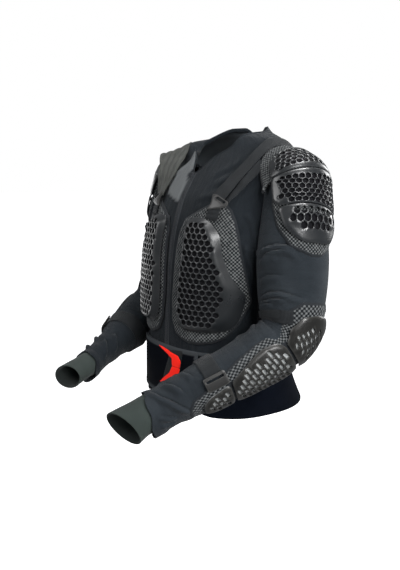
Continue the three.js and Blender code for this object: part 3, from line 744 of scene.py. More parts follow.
def webbing_material(name, colour, shade, rib=2.2):
    """Woven webbing: ribs across the strap and a fine twill along it."""
    material, shader = new_material(name, 0.78, Specular_IOR_Level=0.07, Sheen_Weight=0.08,
                                    Sheen_Roughness=0.4)
    uv, place = surface_places(material)
    across, along = waves(material, uv, rib)
    weave = maths(material, "ADD", along, maths(material, "MULTIPLY", across, 0.5))
    tone = span(material, noise(material, place, 40, 3), 0.3, 0.7, 0, 1)
    toned = maths(material, "MULTIPLY", tone, 0.6)
    share = maths(material, "ADD", toned, maths(material, "MULTIPLY", weave, 0.2))
    link(material, blend(material, share, shade, colour), shader.inputs["Base Color"])
    bump(material, shader, weave, 0.5, 0.4)
    return material


def pad_material(name, pitch, nub, ground, border, liner):
    """Spacer weave: light nubs on a dark ground, a plain border, and a plain colour under the hard guards."""
    material, shader = new_material(name, 0.85, Specular_IOR_Level=0.05, Sheen_Weight=0.06)
    uv, place = surface_places(material)
    across, along = waves(material, uv, pitch)
    lobes = maths(material, "MULTIPLY", across, along)
    worn = span(material, noise(material, place, 160, 2), 0.25, 0.75, -0.4, 0.4)
    spots = span(material, maths(material, "ADD", lobes, worn), -0.3, 0.8, 0, 1)
    colour = blend(material, spots, ground, nub)
    edge = node(material, "ShaderNodeAttribute", attribute_name="border").outputs["Fac"]
    under = node(material, "ShaderNodeAttribute", attribute_name="under").outputs["Fac"]
    colour = blend(material, edge, colour, border)
    colour = blend(material, under, colour, liner)
    link(material, colour, shader.inputs["Base Color"])
    bump(material, shader, noise(material, place, 1500, 2), 0.35, 0.3)
    return material


def plastic_material(name, colour, roughness, scuff, gloss=0.4):
    """Moulded plastic: an even skin with faint grain, and rubbed edges."""
    material, shader = new_material(name, roughness, Specular_IOR_Level=gloss)
    _, place = surface_places(material)
    clouds = noise(material, place, 22, 4)
    rough = span(material, clouds, 0.3, 0.7, roughness - 0.07, roughness + 0.1)
    link(material, rough, shader.inputs["Roughness"])
    edges = node(material, "ShaderNodeNewGeometry").outputs["Pointiness"]
    worn = maths(material, "ADD", edges, maths(material, "MULTIPLY", clouds, 0.03))
    rubbed = span(material, worn, 0.54, 0.62, 0, 0.5)
    link(material, blend(material, rubbed, colour, scuff), shader.inputs["Base Color"])
    bump(material, shader, noise(material, place, 700, 2), 0.12, 0.12)
    return material


def plain_cloth_material(name, colour, shade, grain=500.0, depth=0.4):
    """Smooth rubbery or brushed cloth with a fine grain."""
    material, shader = new_material(name, 0.82, Specular_IOR_Level=0.06, Sheen_Weight=0.06,
                                    Sheen_Roughness=0.5)
    _, place = surface_places(material)
    tone = span(material, noise(material, place, 14, 4), 0.3, 0.7, 0, 1)
    link(material, blend(material, tone, shade, colour), shader.inputs["Base Color"])
    bump(material, shader, noise(material, place, grain, 3), 0.4, depth)
    return material


def belt_material(name, colour, shade, binding):
    """Brushed stretch cloth with a fuzzy grey binding along its edges."""
    material, shader = new_material(name, 0.85, Specular_IOR_Level=0.03, Sheen_Weight=0.0)
    _, place = surface_places(material)
    tone = span(material, noise(material, place, 20, 4), 0.3, 0.7, 0, 1)
    fuzz = noise(material, place, 450, 3)
    edge = node(material, "ShaderNodeAttribute", attribute_name="binding").outputs["Fac"]
    colour = blend(material, edge, blend(material, tone, shade, colour), binding)
    link(material, colour, shader.inputs["Base Color"])
    bump(material, shader, fuzz, 0.5, 0.5)
    return material


# Finishes

KNIT = 1.6
NUB_HEIGHT = 0.9
CHEST_NUBS = 6.8
ELBOW_NUBS = 8.8
# A painted pool of light, where the top light falls on the lapel.
LAPEL_PAINTED_LIGHT = (0.092, 0.098, 0.101)
PAD_GROUND = (0.006, 0.007, 0.008)
PAD_EDGE = (0.012, 0.0135, 0.0155)
# One mesh cloth in two copies. The lighter copy is painted light on the left sleeve; the darker copy is
# painted shade on the body, the neck binding and the right sleeve.
LIT_MESH_CLOTH = cloth_material("sleeve_cloth", (0.0235, 0.0280, 0.0325), (0.0108, 0.0134, 0.0162))
SHADED_MESH_CLOTH = cloth_material("body_cloth", (0.0160, 0.0193, 0.0230), (0.0072, 0.0092, 0.0114))
ARM_CLOTH = {"left": LIT_MESH_CLOTH, "right": SHADED_MESH_CLOTH}
# The inner face of the body cloth, lighter than its outside: painted light inside the neck.
LIT_LINING = plain_cloth_material("lining", (0.034, 0.039, 0.043), (0.026, 0.030, 0.034))
CUFF_CLOTH = plain_cloth_material("cuff_cloth", (0.027, 0.034, 0.0315), (0.020, 0.0255, 0.0235))
# The inner face of the cuff, darker than its outside: painted shade inside the mouth.
SHADED_CUFF_LINING = plain_cloth_material("cuff_lining", (0.011, 0.0135, 0.013), (0.009, 0.011, 0.0105))
# Under the chest and shoulder guards the pad is plain near black; under the elbow guards it is plain light
# grey foam.
GUARD_PAD = pad_material("guard_pad", CHEST_NUBS, (0.10, 0.105, 0.106), PAD_GROUND, PAD_EDGE,
                         (0.004, 0.004, 0.005))
ELBOW_PAD_CLOTH = pad_material("elbow_pad_cloth", ELBOW_NUBS, (0.088, 0.093, 0.095), PAD_GROUND, PAD_EDGE,
                               (0.21, 0.218, 0.218))
SHELL = plastic_material("shell", (0.007, 0.008, 0.009), 0.33, (0.03, 0.032, 0.033))
ELBOW_SHELL = plastic_material("elbow_shell", (0.0065, 0.0063, 0.0057), 0.33, (0.045, 0.045, 0.042), 0.36)
WEBBING = webbing_material("webbing", (0.0158, 0.0173, 0.0188), (0.0098, 0.0109, 0.0120))
# A lighter copy of the webbing, painted light on the right shoulder strap, which faces the lamps.
LIT_WEBBING = webbing_material("loose_webbing", (0.060, 0.062, 0.057), (0.036, 0.038, 0.035))
STRAP_CLOTH = {"left": WEBBING, "right": LIT_WEBBING}
BUCKLE = plastic_material("buckle", (0.011, 0.011, 0.011), 0.42, (0.06, 0.06, 0.057), 0.25)
BELT_CLOTH = belt_material("belt_cloth", (0.0022, 0.0030, 0.0052), (0.0012, 0.0017, 0.0030),
                           (0.040, 0.044, 0.048))
RED_PRINT = plain_cloth_material("red_print", (1.0, 0.020, 0.008), (0.90, 0.015, 0.006), 300, 0.15)
ZIP_TAPE = webbing_material("zip_tape", (0.030, 0.033, 0.037), (0.018, 0.020, 0.023), 1.6)


# The jacket body

# The mean radius turns an angle into a length along the cloth.
BODY_RADIUS = 150
BODY_FOLDS = [
    # height, width, and the line that it follows by its arc from the front and its level
    (4.0, 7, [(168, -197), (182, -221), (196, -246), (204, -275)]),
    (4.0, 7, [(157, -141), (179, -160), (191, -188)]),
    (3.4, 6, [(176, -205), (198, -216)]),
    (3.0, 7, [(190, -170), (206, -220), (214, -262)]),
    (3.0, 9, [(60, -92), (104, -78), (140, -58)]),
    (2.4, 8, [(34, -118), (70, -112), (96, -104)]),
    (2.4, 8, [(50, -76), (84, -58), (110, -40)]),
    (2.6, 8, [(208, -290), (216, -330), (214, -370)]),
]
# Outline of the lapel on the wearer's right front, by arc and level: it is raised, and a pool of light is
# painted on it.
LAPEL = [(-70, -4), (-28, -4), (-9, -53), (-18, -66), (-4, -88), (-5, -116), (-12, -122), (-60, -108),
         (-84, -87), (-72, -53)]
LAPEL_LIFT = 2.4
ARM_HOLE_INSET = 5
NECK_EDGE = SimpleNamespace(reach=9, lowest=-80)
NECK_CUT_FLOOR = -100


def neck_loop():
    """The neck opening in plan, as a soft closed curve."""
    points = np.array(NECK_PLAN, float)
    t = np.linspace(0, 1, 24, endpoint=False)[:, None]
    curve = []
    for p0, p1, p2, p3 in zip(np.roll(points, 1, 0), points, np.roll(points, -1, 0), np.roll(points, -2, 0)):
        curve.append(0.5 * (2 * p1 + (p2 - p0) * t + (2 * p0 - 5 * p1 + 4 * p2 - p3) * t ** 2
                            + (3 * p1 - p0 - 3 * p2 + p3) * t ** 3))
    return np.concatenate(curve)


NECK_LOOP = neck_loop()


def profile_heights():
    """Heights that are evenly spaced along the body's side line, from the hem to the top."""
    z = np.arange(HEM, BODY_TOP + 0.5)
    width = smooth(BODY, "z", "half_width", z)
    gone = np.concatenate([[0], np.cumsum(np.hypot(np.diff(z), np.diff(width)))])
    return gone / gone[-1], z


def side_angle(z):
    """Angle of the side seam, where the section crosses the seam's plane."""
    off = SIDE_SEAM_Y - smooth(BODY, "z", "middle", z)
    depth = np.where(off > 0, smooth(BODY, "z", "back", z), smooth(BODY, "z", "front", z))
    c = -np.sign(off) * np.clip(np.abs(off) / depth, 0, 1) ** (1 / BODY_SQUARENESS)
    return np.arccos(c)


def zip_angle(z):
    share = (ZIP_HALF_WIDTH + 0.3) / smooth(BODY, "z", "half_width", z)
    return np.arcsin(share ** (1 / BODY_SQUARENESS))


def neck_fit(piece):
    """Brings the cut edge at the neck onto the neck opening."""
    points = positions(piece) / MM
    mesh = piece.data
    edges = [loop.edge_index for loop in mesh.loops]
    single = np.bincount(edges, minlength=len(mesh.edges)) == 1
    rim = np.unique(np.array([edge.vertices for edge in mesh.edges])[single])
    close = rim_distance(NECK_LOOP, points[rim, :2]) < NECK_EDGE.reach
    near = rim[close & (points[rim, 2] > NECK_EDGE.lowest)]
    for i in near:
        nearest = NECK_LOOP[np.argmin(np.linalg.norm(NECK_LOOP - points[i, :2], axis=1))]
        points[i, :2] = nearest
        points[i, 2] = body_height(nearest[:1], nearest[1:])[0]
    move_to(piece, points)


def make_panel(name, start, end, columns):
    """One cloth panel of the body between two angles, cut out for the neck and the arms."""
    share, heights = profile_heights()
    lapel = rounded(LAPEL, 5)

    def place(across, up):
        z = np.interp(up, share, heights)
        angle = start(z) + (end(z) - start(z)) * across
        arc = angle * BODY_RADIUS
        lift = fold_height(BODY_FOLDS, np.abs(arc), z) + ripple(arc, z, 90, 1.1, 3)
        keep = smoothstep(z, HEM, HEM + 40) * smoothstep(-z, 20, 60)
        turned_out = np.stack([arc_at_angle(angle, z), z], -1)
        depth = np.where(inside(lapel, turned_out), rim_distance(lapel, turned_out), 0)
        place.lapel = smoothstep(depth, 0, 2.5)
        return on_body(angle, z, lift * keep + LAPEL_LIFT * place.lapel), arc, z

    piece = grid_piece(name, columns, 140, place)
    # The lapel mask carries the painted light for the cloth material.
    mark(piece, "lapel", place.lapel)

    def cut(centres):
        gone = inside(NECK_LOOP, centres[:, :2]) & (centres[:, 2] > NECK_CUT_FLOOR)
        for arm in ARMS:
            gone |= inside_sleeve(arm, centres, ARM_HOLE_INSET)
        return gone

    delete_faces(piece, cut)
    neck_fit(piece)
    # The inner face is lighter, as painted light.
    line_with(piece, CLOTH, SHADED_MESH_CLOTH, LIT_LINING)
    smooth_shade(piece, 60)
    return stands_in(piece, SHADED_MESH_CLOTH)


def make_body():
    left = make_panel("front_left_panel", zip_angle, side_angle, 70)
    right = make_panel("front_right_panel", lambda z: -side_angle(z), lambda z: -zip_angle(z), 70)
    back = make_panel("back_panel", side_angle, lambda z: 2 * math.pi - side_angle(z), 120)


def make_neck_binding():
    """A soft folded edge all round the neck opening."""
    binding = SimpleNamespace(half_width=4.4, half_wall=1.7, drop=2.2, length=560, girth=18)
    loop = even(NECK_LOOP, 4.0)
    ahead = unit(np.roll(loop, -1, 0) - np.roll(loop, 1, 0))
    out = np.stack([ahead[:, 1], -ahead[:, 0]], -1)

    def place(across, up):
        i = np.round(across * len(loop)).astype(int) % len(loop)
        turn = up * 2 * math.pi
        wide = binding.half_wall * np.cos(turn) * (1 + 0.08 * np.sin(i * 1.7))
        tall = binding.half_width * np.sin(turn)
        plan = loop[i] + out[i] * (wide - 1.0)[:, None]
        z = body_height(*loop[i].T) + tall - binding.drop
        return np.column_stack([plan, z]), across * binding.length, up * binding.girth

    piece = grid_piece("neck_binding", len(loop), 12, place, ring=True)
    smooth_shade(piece, 80)
    stands_in(piece, SHADED_MESH_CLOTH)


def make_zip():
    """A zip down the front: its tape, the chain of its teeth, and a slider at the neck."""
    top = -62
    chain = SimpleNamespace(half_width=2.4, low=0.6, tooth=0.7, pitch=2.2)

    def place_tape(across, up):
        z = HEM + (top - HEM) * up
        x = (across - 0.5) * 2 * ZIP_HALF_WIDTH
        return on_body(x / smooth(BODY, "z", "half_width", z), z, np.full(len(z), 0.4)), x, z

    def place_chain(across, up):
        z = HEM + (top - HEM) * up
        x = (across - 0.5) * 2 * chain.half_width
        turn = 2 * math.pi * z / chain.pitch + np.where(x > 0, math.pi, 0)
        crown = 1 - (x / chain.half_width) ** 4
        lift = chain.low + crown * (0.4 + chain.tooth * smoothstep(np.sin(turn), -0.4, 0.4))
        return on_body(x / smooth(BODY, "z", "half_width", z), z, lift), x, z

    tape = grid_piece("zip_tape", 4, 110, place_tape)
    thicken(tape, CLOTH)
    teeth = grid_piece("zip_teeth", 6, round((top - HEM) / chain.pitch * 4), place_chain)
    thicken(teeth, 0.8)
    deselect()
    bpy.ops.mesh.primitive_cube_add(size=1)
    slider = bpy.context.object
    middle = on_body(np.array(0.0), np.array(top - 6.0), np.array(2.5))
    size = Matrix.Diagonal((8 * MM, 5 * MM, 12 * MM, 1))
    slider.data.transform(Matrix.Translation(Vector(middle * MM)) @ size)
    apply_modifier(slider, "BEVEL", width=1.5 * MM, segments=3)
    piece = joined([tape, teeth, slider], "front_zip")
    smooth_shade(piece)
    stands_in(piece, ZIP_TAPE)


# The sleeves

# The mean radius turns an angle into a length along the cloth. FOLD_DEGREE does so for folds.
SLEEVE_RADIUS = 55
FOLD_DEGREE = 0.9
UPPER_FOLDS = [
    # height, width, and the line that it follows along the arm and in degrees round it
    (7.5, 5.4, [(-155, 174), (-163, 156), (-167, 136), (-166, 116), (-161, 105), (-153, 98)]),
    (6.0, 5.4, [(-144, 166), (-154, 148), (-158, 128), (-158, 114), (-151, 100), (-136, 91)]),
    (3.9, 6.3, [(-138, 172), (-146, 150), (-150, 132)]),
    (6.3, 5.4, [(-71, 173), (-80, 151), (-83, 129), (-76, 106), (-70, 86)]),
    (5.4, 4.5, [(-61, 177), (-68, 151), (-71, 134), (-69, 114)]),
    (5.1, 4.5, [(-54, 182), (-60, 160), (-62, 140)]),
    (3.3, 7.2, [(-104, 170), (-112, 150), (-112, 120)]),
    (3.6, 6.3, [(-150, 250), (-166, 220), (-160, 190)]),
    (3.6, 6.3, [(-70, 300), (-84, 260), (-74, 210)]),
]
FORE_FOLDS = [
    (6.5, 5.7, [(270, 158), (261, 130), (249, 107), (238, 84), (223, 55)]),
    (5.0, 5.7, [(244, 164), (233, 141), (225, 123), (220, 105)]),
    (4.7, 4.75, [(276, 84), (262, 66), (250, 56)]),
    (4.3, 4.75, [(282, 60), (266, 50), (254, 46)]),
    (3.2, 5.7, [(206, 176), (198, 150), (192, 128)]),
    (3.6, 5.7, [(4, 220), (20, 190), (30, 158)]),
    (3.2, 5.7, [(16, 226), (40, 196), (52, 166)]),
    (2.9, 6.65, [(40, 226), (66, 200), (86, 172)]),
    (4.3, 5.7, [(262, 250), (250, 220), (236, 190)]),
    (4.3, 5.7, [(232, 260), (222, 230), (208, 200)]),
]
SLEEVE_CAP_REACH = 50
SEAM_OVERLAP = 4
SLEEVE_END_OVER_CUFF = 24
SLEEVE_END_SLANT = 18
INNER_BEND = SimpleNamespace(bulk=9, at=24, over=42)


def make_sleeve(arm, node_name, folds, start, end, rows):
    """A tube of cloth along the arm with its folds, and a rounded top where it starts at the shoulder."""
    cap = smooth(SLEEVE, "along", "across", arm.shoulder_along)
    capped = start < arm.shoulder_along

    def place(across, up):
        angle = across * 2 * math.pi
        at_wrist = 0 if capped else SLEEVE_END_SLANT * (0.5 - 0.5 * np.cos(angle)) + 2 * np.sin(5 * angle)
        along = start + (end - at_wrist - start) * up
        over = np.clip((arm.shoulder_along - along) / cap, 0, 0.99)
        ring = np.degrees(angle) * FOLD_DEGREE
        lines = [(height, width, [(p, q * FOLD_DEGREE) for p, q in line]) for height, width, line in folds]
        lift = fold_height(lines, along, ring) + ripple(along, np.sin(angle) * 60, 70, 0.7, 5)
        lift *= smoothstep(along, start, start + 12) * smoothstep(-along, -end, -end + 6)
        lift += (1.8 + 0.9 * np.sin(4 * angle)) * smoothstep(along, arm.wrist_along - 10, arm.wrist_along + 4)
        bunched = np.exp(-((along - INNER_BEND.at) / INNER_BEND.over) ** 2) * np.clip(-np.cos(angle), 0, 1)
        lift += INNER_BEND.bulk * bunched
        points = on_arm(arm, along, angle, lift)
        if capped:
            middle = arm_frame(arm, along)[0]
            points = middle + (points - middle) * np.sqrt(1 - over ** 2)[:, None]
        return points, along, angle * SLEEVE_RADIUS

    piece = grid_piece(f"{arm.name}_{node_name}", 100, rows, place, flip=arm.side > 0, ring=True)
    if capped:
        delete_faces(piece, lambda centres: inside_body(centres, ARM_HOLE_INSET))
    thicken(piece, CLOTH)
    smooth_shade(piece, 60)
    # The left sleeve takes the lighter cloth copy as painted light, and the right sleeve the darker one as
    # painted shade.
    return stands_in(piece, ARM_CLOTH[arm.name])


CUFF_WAIST = 6.0
CUFF_LENGTH = 65
CUFF_RADIUS = 36


def make_cuff(arm):
    """A soft cuff with a waist on top, a slanted mouth and an eased edge."""
    cuff = arm.cuff
    start_middle, start_normal, start_ahead = arm_frame(arm, arm.wrist_along)
    reach = arm.end - start_middle
    ahead = unit(reach)
    end_normal = np.cross(arm.outward, ahead) * arm.side

    def place(across, up):
        angle = across * 2 * math.pi
        part = up[:, None]
        normal = unit(start_normal * (1 - part) + end_normal * part)
        wave = 0.6 * np.sin(up * 9 + 2 * angle) * (1 - up)
        in_plane = cuff.start_in_plane + (cuff.end_in_plane - cuff.start_in_plane) * up + wave
        in_plane = in_plane - CUFF_WAIST * np.sin(math.pi * up) * (0.5 + 0.5 * np.cos(angle))
        wide = cuff.start_across + (cuff.end_across - cuff.start_across) * up + wave
        slant = up * (cuff.slant_top * np.cos(angle) + cuff.slant_near * np.sin(angle))
        raised = normal * (in_plane * np.cos(angle))[:, None]
        aside = arm.outward * (arm.side * wide * np.sin(angle))[:, None]
        points = start_middle + start_ahead * 0.3 + reach * part + raised + aside - ahead * slant[:, None]
        return points, up * CUFF_LENGTH, angle * CUFF_RADIUS

    piece = grid_piece(f"{arm.name}_cuff", 96, 36, place, ring=True)
    # The cuff's inner face is darkened as painted shade.
    line_with(piece, CUFF_WALL, CUFF_CLOTH, SHADED_CUFF_LINING)
    apply_modifier(piece, "BEVEL", width=1.0 * MM, segments=2, limit_method="ANGLE")
    smooth_shade(piece, 60)
    return stands_in(piece, CUFF_CLOTH)


def make_sleeves():
    for arm in ARMS:
        start = arm.shoulder_along - SLEEVE_CAP_REACH
        upper = make_sleeve(arm, "upper_sleeve", UPPER_FOLDS, start, ELBOW_SEAM + SEAM_OVERLAP, 100)
        end = arm.wrist_along + SLEEVE_END_OVER_CUFF
        fore = make_sleeve(arm, "forearm_sleeve", FORE_FOLDS, ELBOW_SEAM, end, 130)
        cuff = make_cuff(arm)
        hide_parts(f"{arm.name}_elbow_sleeve", f"{arm.name}_wrist_sleeve")


# Pads

CHEST_PAD = table("at start end", [
    (-388, 74, 98),
    (-383, 56, 126),
    (-373, 36, 150),
    (-348, 23, 173),
    (-302, 19, 198),
    (-255, 21, 186),
    (-215, 23, 176),
    (-177, 25, 167),
    (-150, 36, 157),
    (-129, 76, 144),
    (-118, 98, 130),
])
SHOULDER_PAD = table("at start end", [
    (-132, -10, 10),
    (-116, -36, 44),
    (-80, -56, 68),
    (-40, -72, 80),
    (0, -82, 80),
    (20, -80, 84),
    (40, -76, 92),
    (58, -71, 103),
    (75, -66, 104),
    (106, -48, 88),
    (119, -38, 80),
    (130, -26, 68),
    (139, -4, 46),
])
ELBOW_PAD = table("at start end", [
    (-64, 34, 86),
    (-50, -4, 110),
    (-30, -22, 119),
    (-10, -31, 127),
    (10, -36, 132),
    (32, -38, 136),
    (76, -30, 126),
    (114, -14, 116),
    (146, -2, 103),
    (182, 6, 89),
    (214, 14, 78),
    (228, 34, 58),
])
PAD_BORDER = 4.8
PAD_GRID = 2.0
PAD_WALL = 2.6


def make_pad(name, rows, reach, place_on, top, covers, under_top, pitch, flip, material, gaps=()):
    """A foam pad with a plain border and raised nubs. reach turns its across units into millimetres, and
    under_top gives its height under the guards that cover it. It is plain in the gaps between guards."""
    low, high = rows["at"][0], rows["at"][-1]
    width = np.max(rows["end"] - rows["start"]) * reach
    columns, lines = round(width / PAD_GRID), round((high - low) / PAD_GRID)
    edge = np.stack([np.concatenate([rows["start"], rows["end"][::-1]]) * reach,
                     np.concatenate([rows["at"], rows["at"][::-1]])], -1)

    def place(across, up):
        at = low + (high - low) * up
        start, end = (np.interp(at, rows["at"], rows[key]) for key in ("start", "end"))
        u = start + (end - start) * across
        flat = np.stack([u * reach, at], -1)
        rim = rim_distance(edge, flat)
        lobes = np.cos(2 * math.pi * flat[:, 0] / pitch) * np.cos(2 * math.pi * at / pitch)
        under = np.zeros(len(at))
        for cover in covers:
            depth = np.where(inside(cover, flat), rim_distance(cover, flat), 0)
            under = np.maximum(under, smoothstep(depth, 0.5, 3.0))
        crown = smoothstep(rim, 0, 3.2) * 0.55 + smoothstep(rim, PAD_BORDER - 1, PAD_BORDER + 4) * 0.45
        plain = 1 - smoothstep(rim, PAD_BORDER - 0.6, PAD_BORDER + 0.6)
        for gap in gaps:
            plain = np.maximum(plain, inside(gap, flat))
        nubs = np.clip(lobes, 0, 1) * NUB_HEIGHT * (1 - plain)
        lift = OVER_CLOTH + (top - NUB_HEIGHT - OVER_CLOTH) * crown + nubs
        lift = lift * (1 - under) + under_top(flat) * under
        place.border = plain
        place.under = under
        return place_on(u, at, lift), flat[:, 0], at

    piece = grid_piece(name, columns, lines, place, flip=flip)
    mark(piece, "border", place.border)
    mark(piece, "under", place.under)
    thicken(piece, PAD_WALL)
    smooth_shade(piece, 75)
    stands_in(piece, material)


# Hard guards

CHEST_SHELL = [
    (51, -155), (76, -146), (102, -150), (124, -166), (134, -180), (141, -214), (157, -254), (184, -290),
    (180, -310), (172, -338), (160, -354), (129, -361), (95, -362), (65, -361), (52, -347), (48, -317),
    (50, -272), (54, -231), (55, -188),
]
CHEST_ZONE = [
    (64, -164), (86, -158), (101, -162), (116, -179), (126, -207), (133, -236), (146, -278), (144, -296),
    (136, -334), (127, -349), (88, -356), (68, -350), (59, -334), (58, -317), (60, -272), (64, -231),
    (65, -188),
]
CHEST_CELL = SimpleNamespace(pitch=11.7, across=8.8, from_edge=5)
CHEST_RIM = 12.4
CHEST_CREST = 23.0
RIGHT_CHEST_SHIFT = SimpleNamespace(pad=13, shell=33)
SHOULDER_CELL = SimpleNamespace(pitch=12.2, across=9.7, from_edge=1)
SHOULDER_SHELLS = {
    # outline, zone of the holes, rise of the zone
    "top": ([(-60, 33), (72, 33), (79, 46), (66, 92), (34, 104), (-34, 104), (-56, 84)],
            [(-52, 39), (62, 39), (64, 60), (50, 98), (-40, 98)], 0.4),
    "mid": ([(-64, 31), (74, 31), (78, 0), (72, -34), (60, -47.5), (-50, -47.5), (-62, -36), (-68, 0)],
            [(-58, 25), (56, 25), (66, 0), (56, -39.5), (-52, -39.5)], 0.4),
    "low": ([(-52, -49.5), (64, -49.5), (52, -82), (28, -106), (-20, -110), (-44, -80)],
            [(-38, -54), (44, -54), (44, -66), (34, -80), (-28, -80)], 1.4),
}
UNDER_SHELL = 4.4
PLATE_WALL = 2.2
PLATE_NET = 3.4
PLATE_ARCH = SimpleNamespace(rise=12, middle=22, half_width=64, at=-48, over=28)
ELBOW_SLOT = SimpleNamespace(gap=4.2, web=3.6, from_edge=2)
ELBOW_SHELLS = {
    # outline, zone of the slots, length and width of a slot, lean of the rows
    "elbow_cup": ([(88, -36), (106, -10), (96, 20), (60, 21), (14, 21), (-6, 16), (-12, 0), (4, -22),
                   (30, -35), (60, -41)],
                  [(70, -20), (90, 4), (86, 19), (-2, 19), (-4, -12), (40, -26)], 10.5, 5.2, -0.4),
    "forearm_plate": ([(94, 25), (107, 38), (109, 64), (104, 84), (86, 128), (80, 140), (20, 140), (2, 100),
                       (-16, 66), (-10, 36), (10, 25)],
                      [(84, 28), (96, 62), (88, 96), (70, 138), (22, 138), (4, 100), (-14, 66), (-8, 28)],
                      13.5, 6.2, 0.28),
    "wrist_plate": ([(78, 145), (70, 188), (56, 202), (30, 202), (20, 180), (20, 145)],
                    [(66, 146), (60, 190), (30, 200), (20, 180), (20, 146)], 13.5, 6.2, 0.28),
}
ELBOW_GAPS = [
    [(-10, 16), (100, 16), (100, 30), (-10, 30)],
    [(22, 136), (82, 136), (80, 149), (22, 149)],
]


def shell_lift(outline, zone, low, rise, over, step):
    """Height of a guard's top: a crowned shell with a raised or sunk field for its holes."""
    def lift(flat):
        crown = rise * smoothstep(rim_distance(outline, flat), 0, over)
        field = np.where(inside(zone, flat), 1.0, -1.0) * rim_distance(zone, flat)
        return low + SHELL_WALL + crown + step * smoothstep(field, -5, 1.5)
    return lift


def chest_lift(outline, zone):
    """Height of a chest guard's top: a flat field for its holes, and flanks that fall to the rim."""
    def lift(flat):
        to_rim = rim_distance(outline, flat)
        to_field = np.where(inside(zone, flat), 0, rim_distance(zone, flat))
        share = to_rim / np.maximum(to_rim + to_field, 1e-6)
        return CHEST_RIM + (CHEST_CREST - CHEST_RIM) * (0.55 * share + 0.45 * smoothstep(share, 0, 1))
    return lift


def make_chest_guards():
    outline = rounded(CHEST_SHELL, 10)
    zone = rounded(CHEST_ZONE, 8)
    loop = even(outline, 4)
    holes = honeycomb(zone, inset_loop(loop, CHEST_CELL.from_edge), CHEST_CELL.pitch, CHEST_CELL.across)
    lift = chest_lift(loop, even(zone, 4))
    for name, side in SIDES:
        shift = RIGHT_CHEST_SHIFT if side < 0 else SimpleNamespace(pad=0, shell=0)
        place_pad = lambda u, v, lift: on_body_arc(side * (u - shift.pad), v, lift)
        place = lambda u, v, lift: on_body_arc(side * (u - shift.shell), v, lift)
        apart = np.array([shift.shell - shift.pad, 0])
        under_top = lambda flat: lift(flat + apart) - UNDER_SHELL
        make_pad(f"{name}_chest_pad", CHEST_PAD, 1.0, place_pad, PAD_TOP, [outline - apart], under_top,
                 CHEST_NUBS, side < 0, GUARD_PAD)
        piece = plate(f"{name}_chest_shell", outline, holes, place, lift, PLATE_WALL, side < 0,
                      PLATE_NET, 0.5)
        stands_in(piece, SHELL)


def turned(points, reach):
    """Points given by degrees round a form, as lengths."""
    points = np.array(points, float)
    return np.column_stack([np.radians(points[:, 0]) * reach, points[:, 1]])


def plate_arch(u, v):
    """How far the edges between the shoulder's plates bow up over the arm."""
    bow = np.maximum(1 - ((u - PLATE_ARCH.middle) / PLATE_ARCH.half_width) ** 2, -0.5)
    return PLATE_ARCH.rise * bow * np.exp(-((v - PLATE_ARCH.at) / PLATE_ARCH.over) ** 2)


def make_shoulder_guards():
    for arm in ARMS:
        flip = arm.side > 0
        place = lambda u, v, lift: on_shoulder(arm, u / SHOULDER_REACH, v + plate_arch(u, v), lift)
        place_pad = lambda angle, v, lift: on_shoulder(arm, np.radians(angle), v, lift)
        outlines = {part: rounded(turned(outline, SHOULDER_REACH), 9)
                    for part, (outline, _, _) in SHOULDER_SHELLS.items()}
        under_top = even_top(SHELL_LOW + SHELL_WALL + 2 - UNDER_SHELL)
        covers = [np.column_stack([loop[:, 0], loop[:, 1] + plate_arch(*loop.T)])
                  for loop in outlines.values()]
        make_pad(f"{arm.name}_shoulder_pad", SHOULDER_PAD, math.radians(1) * SHOULDER_REACH, place_pad,
                 PAD_TOP, covers, under_top, CHEST_NUBS, flip, GUARD_PAD)
        for part, (_, zone, step) in SHOULDER_SHELLS.items():
            zone = rounded(turned(zone, SHOULDER_REACH), 12)
            loop = even(outlines[part], 4)
            lift = shell_lift(loop, zone, SHELL_LOW + 1, 1, 4, step)
            edge = inset_loop(loop, SHOULDER_CELL.from_edge)
            holes = honeycomb(zone, edge, SHOULDER_CELL.pitch, SHOULDER_CELL.across)
            piece = plate(f"{arm.name}_shoulder_shell_{part}", outlines[part], holes, place, lift,
                          PLATE_WALL, flip, PLATE_NET, 0.7)
            stands_in(piece, SHELL)


def make_elbow_guards():
    for arm in ARMS:
        flip = arm.side < 0
        place = lambda u, v, lift: on_arm(arm, v, u / ELBOW_REACH, lift)
        place_pad = lambda angle, v, lift: on_arm(arm, v, np.radians(angle), lift)
        outlines = {part: rounded(turned(row[0], ELBOW_REACH), 8) for part, row in ELBOW_SHELLS.items()}
        under_top = even_top(ELBOW_SHELL_LOW + SHELL_WALL - UNDER_SHELL)
        make_pad(f"{arm.name}_elbow_pad", ELBOW_PAD, math.radians(1) * ELBOW_REACH, place_pad, ELBOW_PAD_TOP,
                 list(outlines.values()), under_top, ELBOW_NUBS, flip, ELBOW_PAD_CLOTH,
                 [turned(gap, ELBOW_REACH) for gap in ELBOW_GAPS])
        for part, (_, zone, length, width, lean) in ELBOW_SHELLS.items():
            zone = rounded(turned(zone, ELBOW_REACH), 6)
            loop = even(outlines[part], 4)
            lift = shell_lift(loop, zone, ELBOW_SHELL_LOW, 2, 8, -0.8)
            edge = inset_loop(loop, ELBOW_SLOT.from_edge)
            holes = bricks(zone, edge, length, width, ELBOW_SLOT.gap, ELBOW_SLOT.web, lean)
            piece = plate(f"{arm.name}_{part}", outlines[part], holes, place, lift, PLATE_WALL, flip,
                          PLATE_NET, 1.0)
            stands_in(piece, ELBOW_SHELL)


# Straps and buckles

STRAP_WALL = 1.8
BUCKLE_NET = 2.5


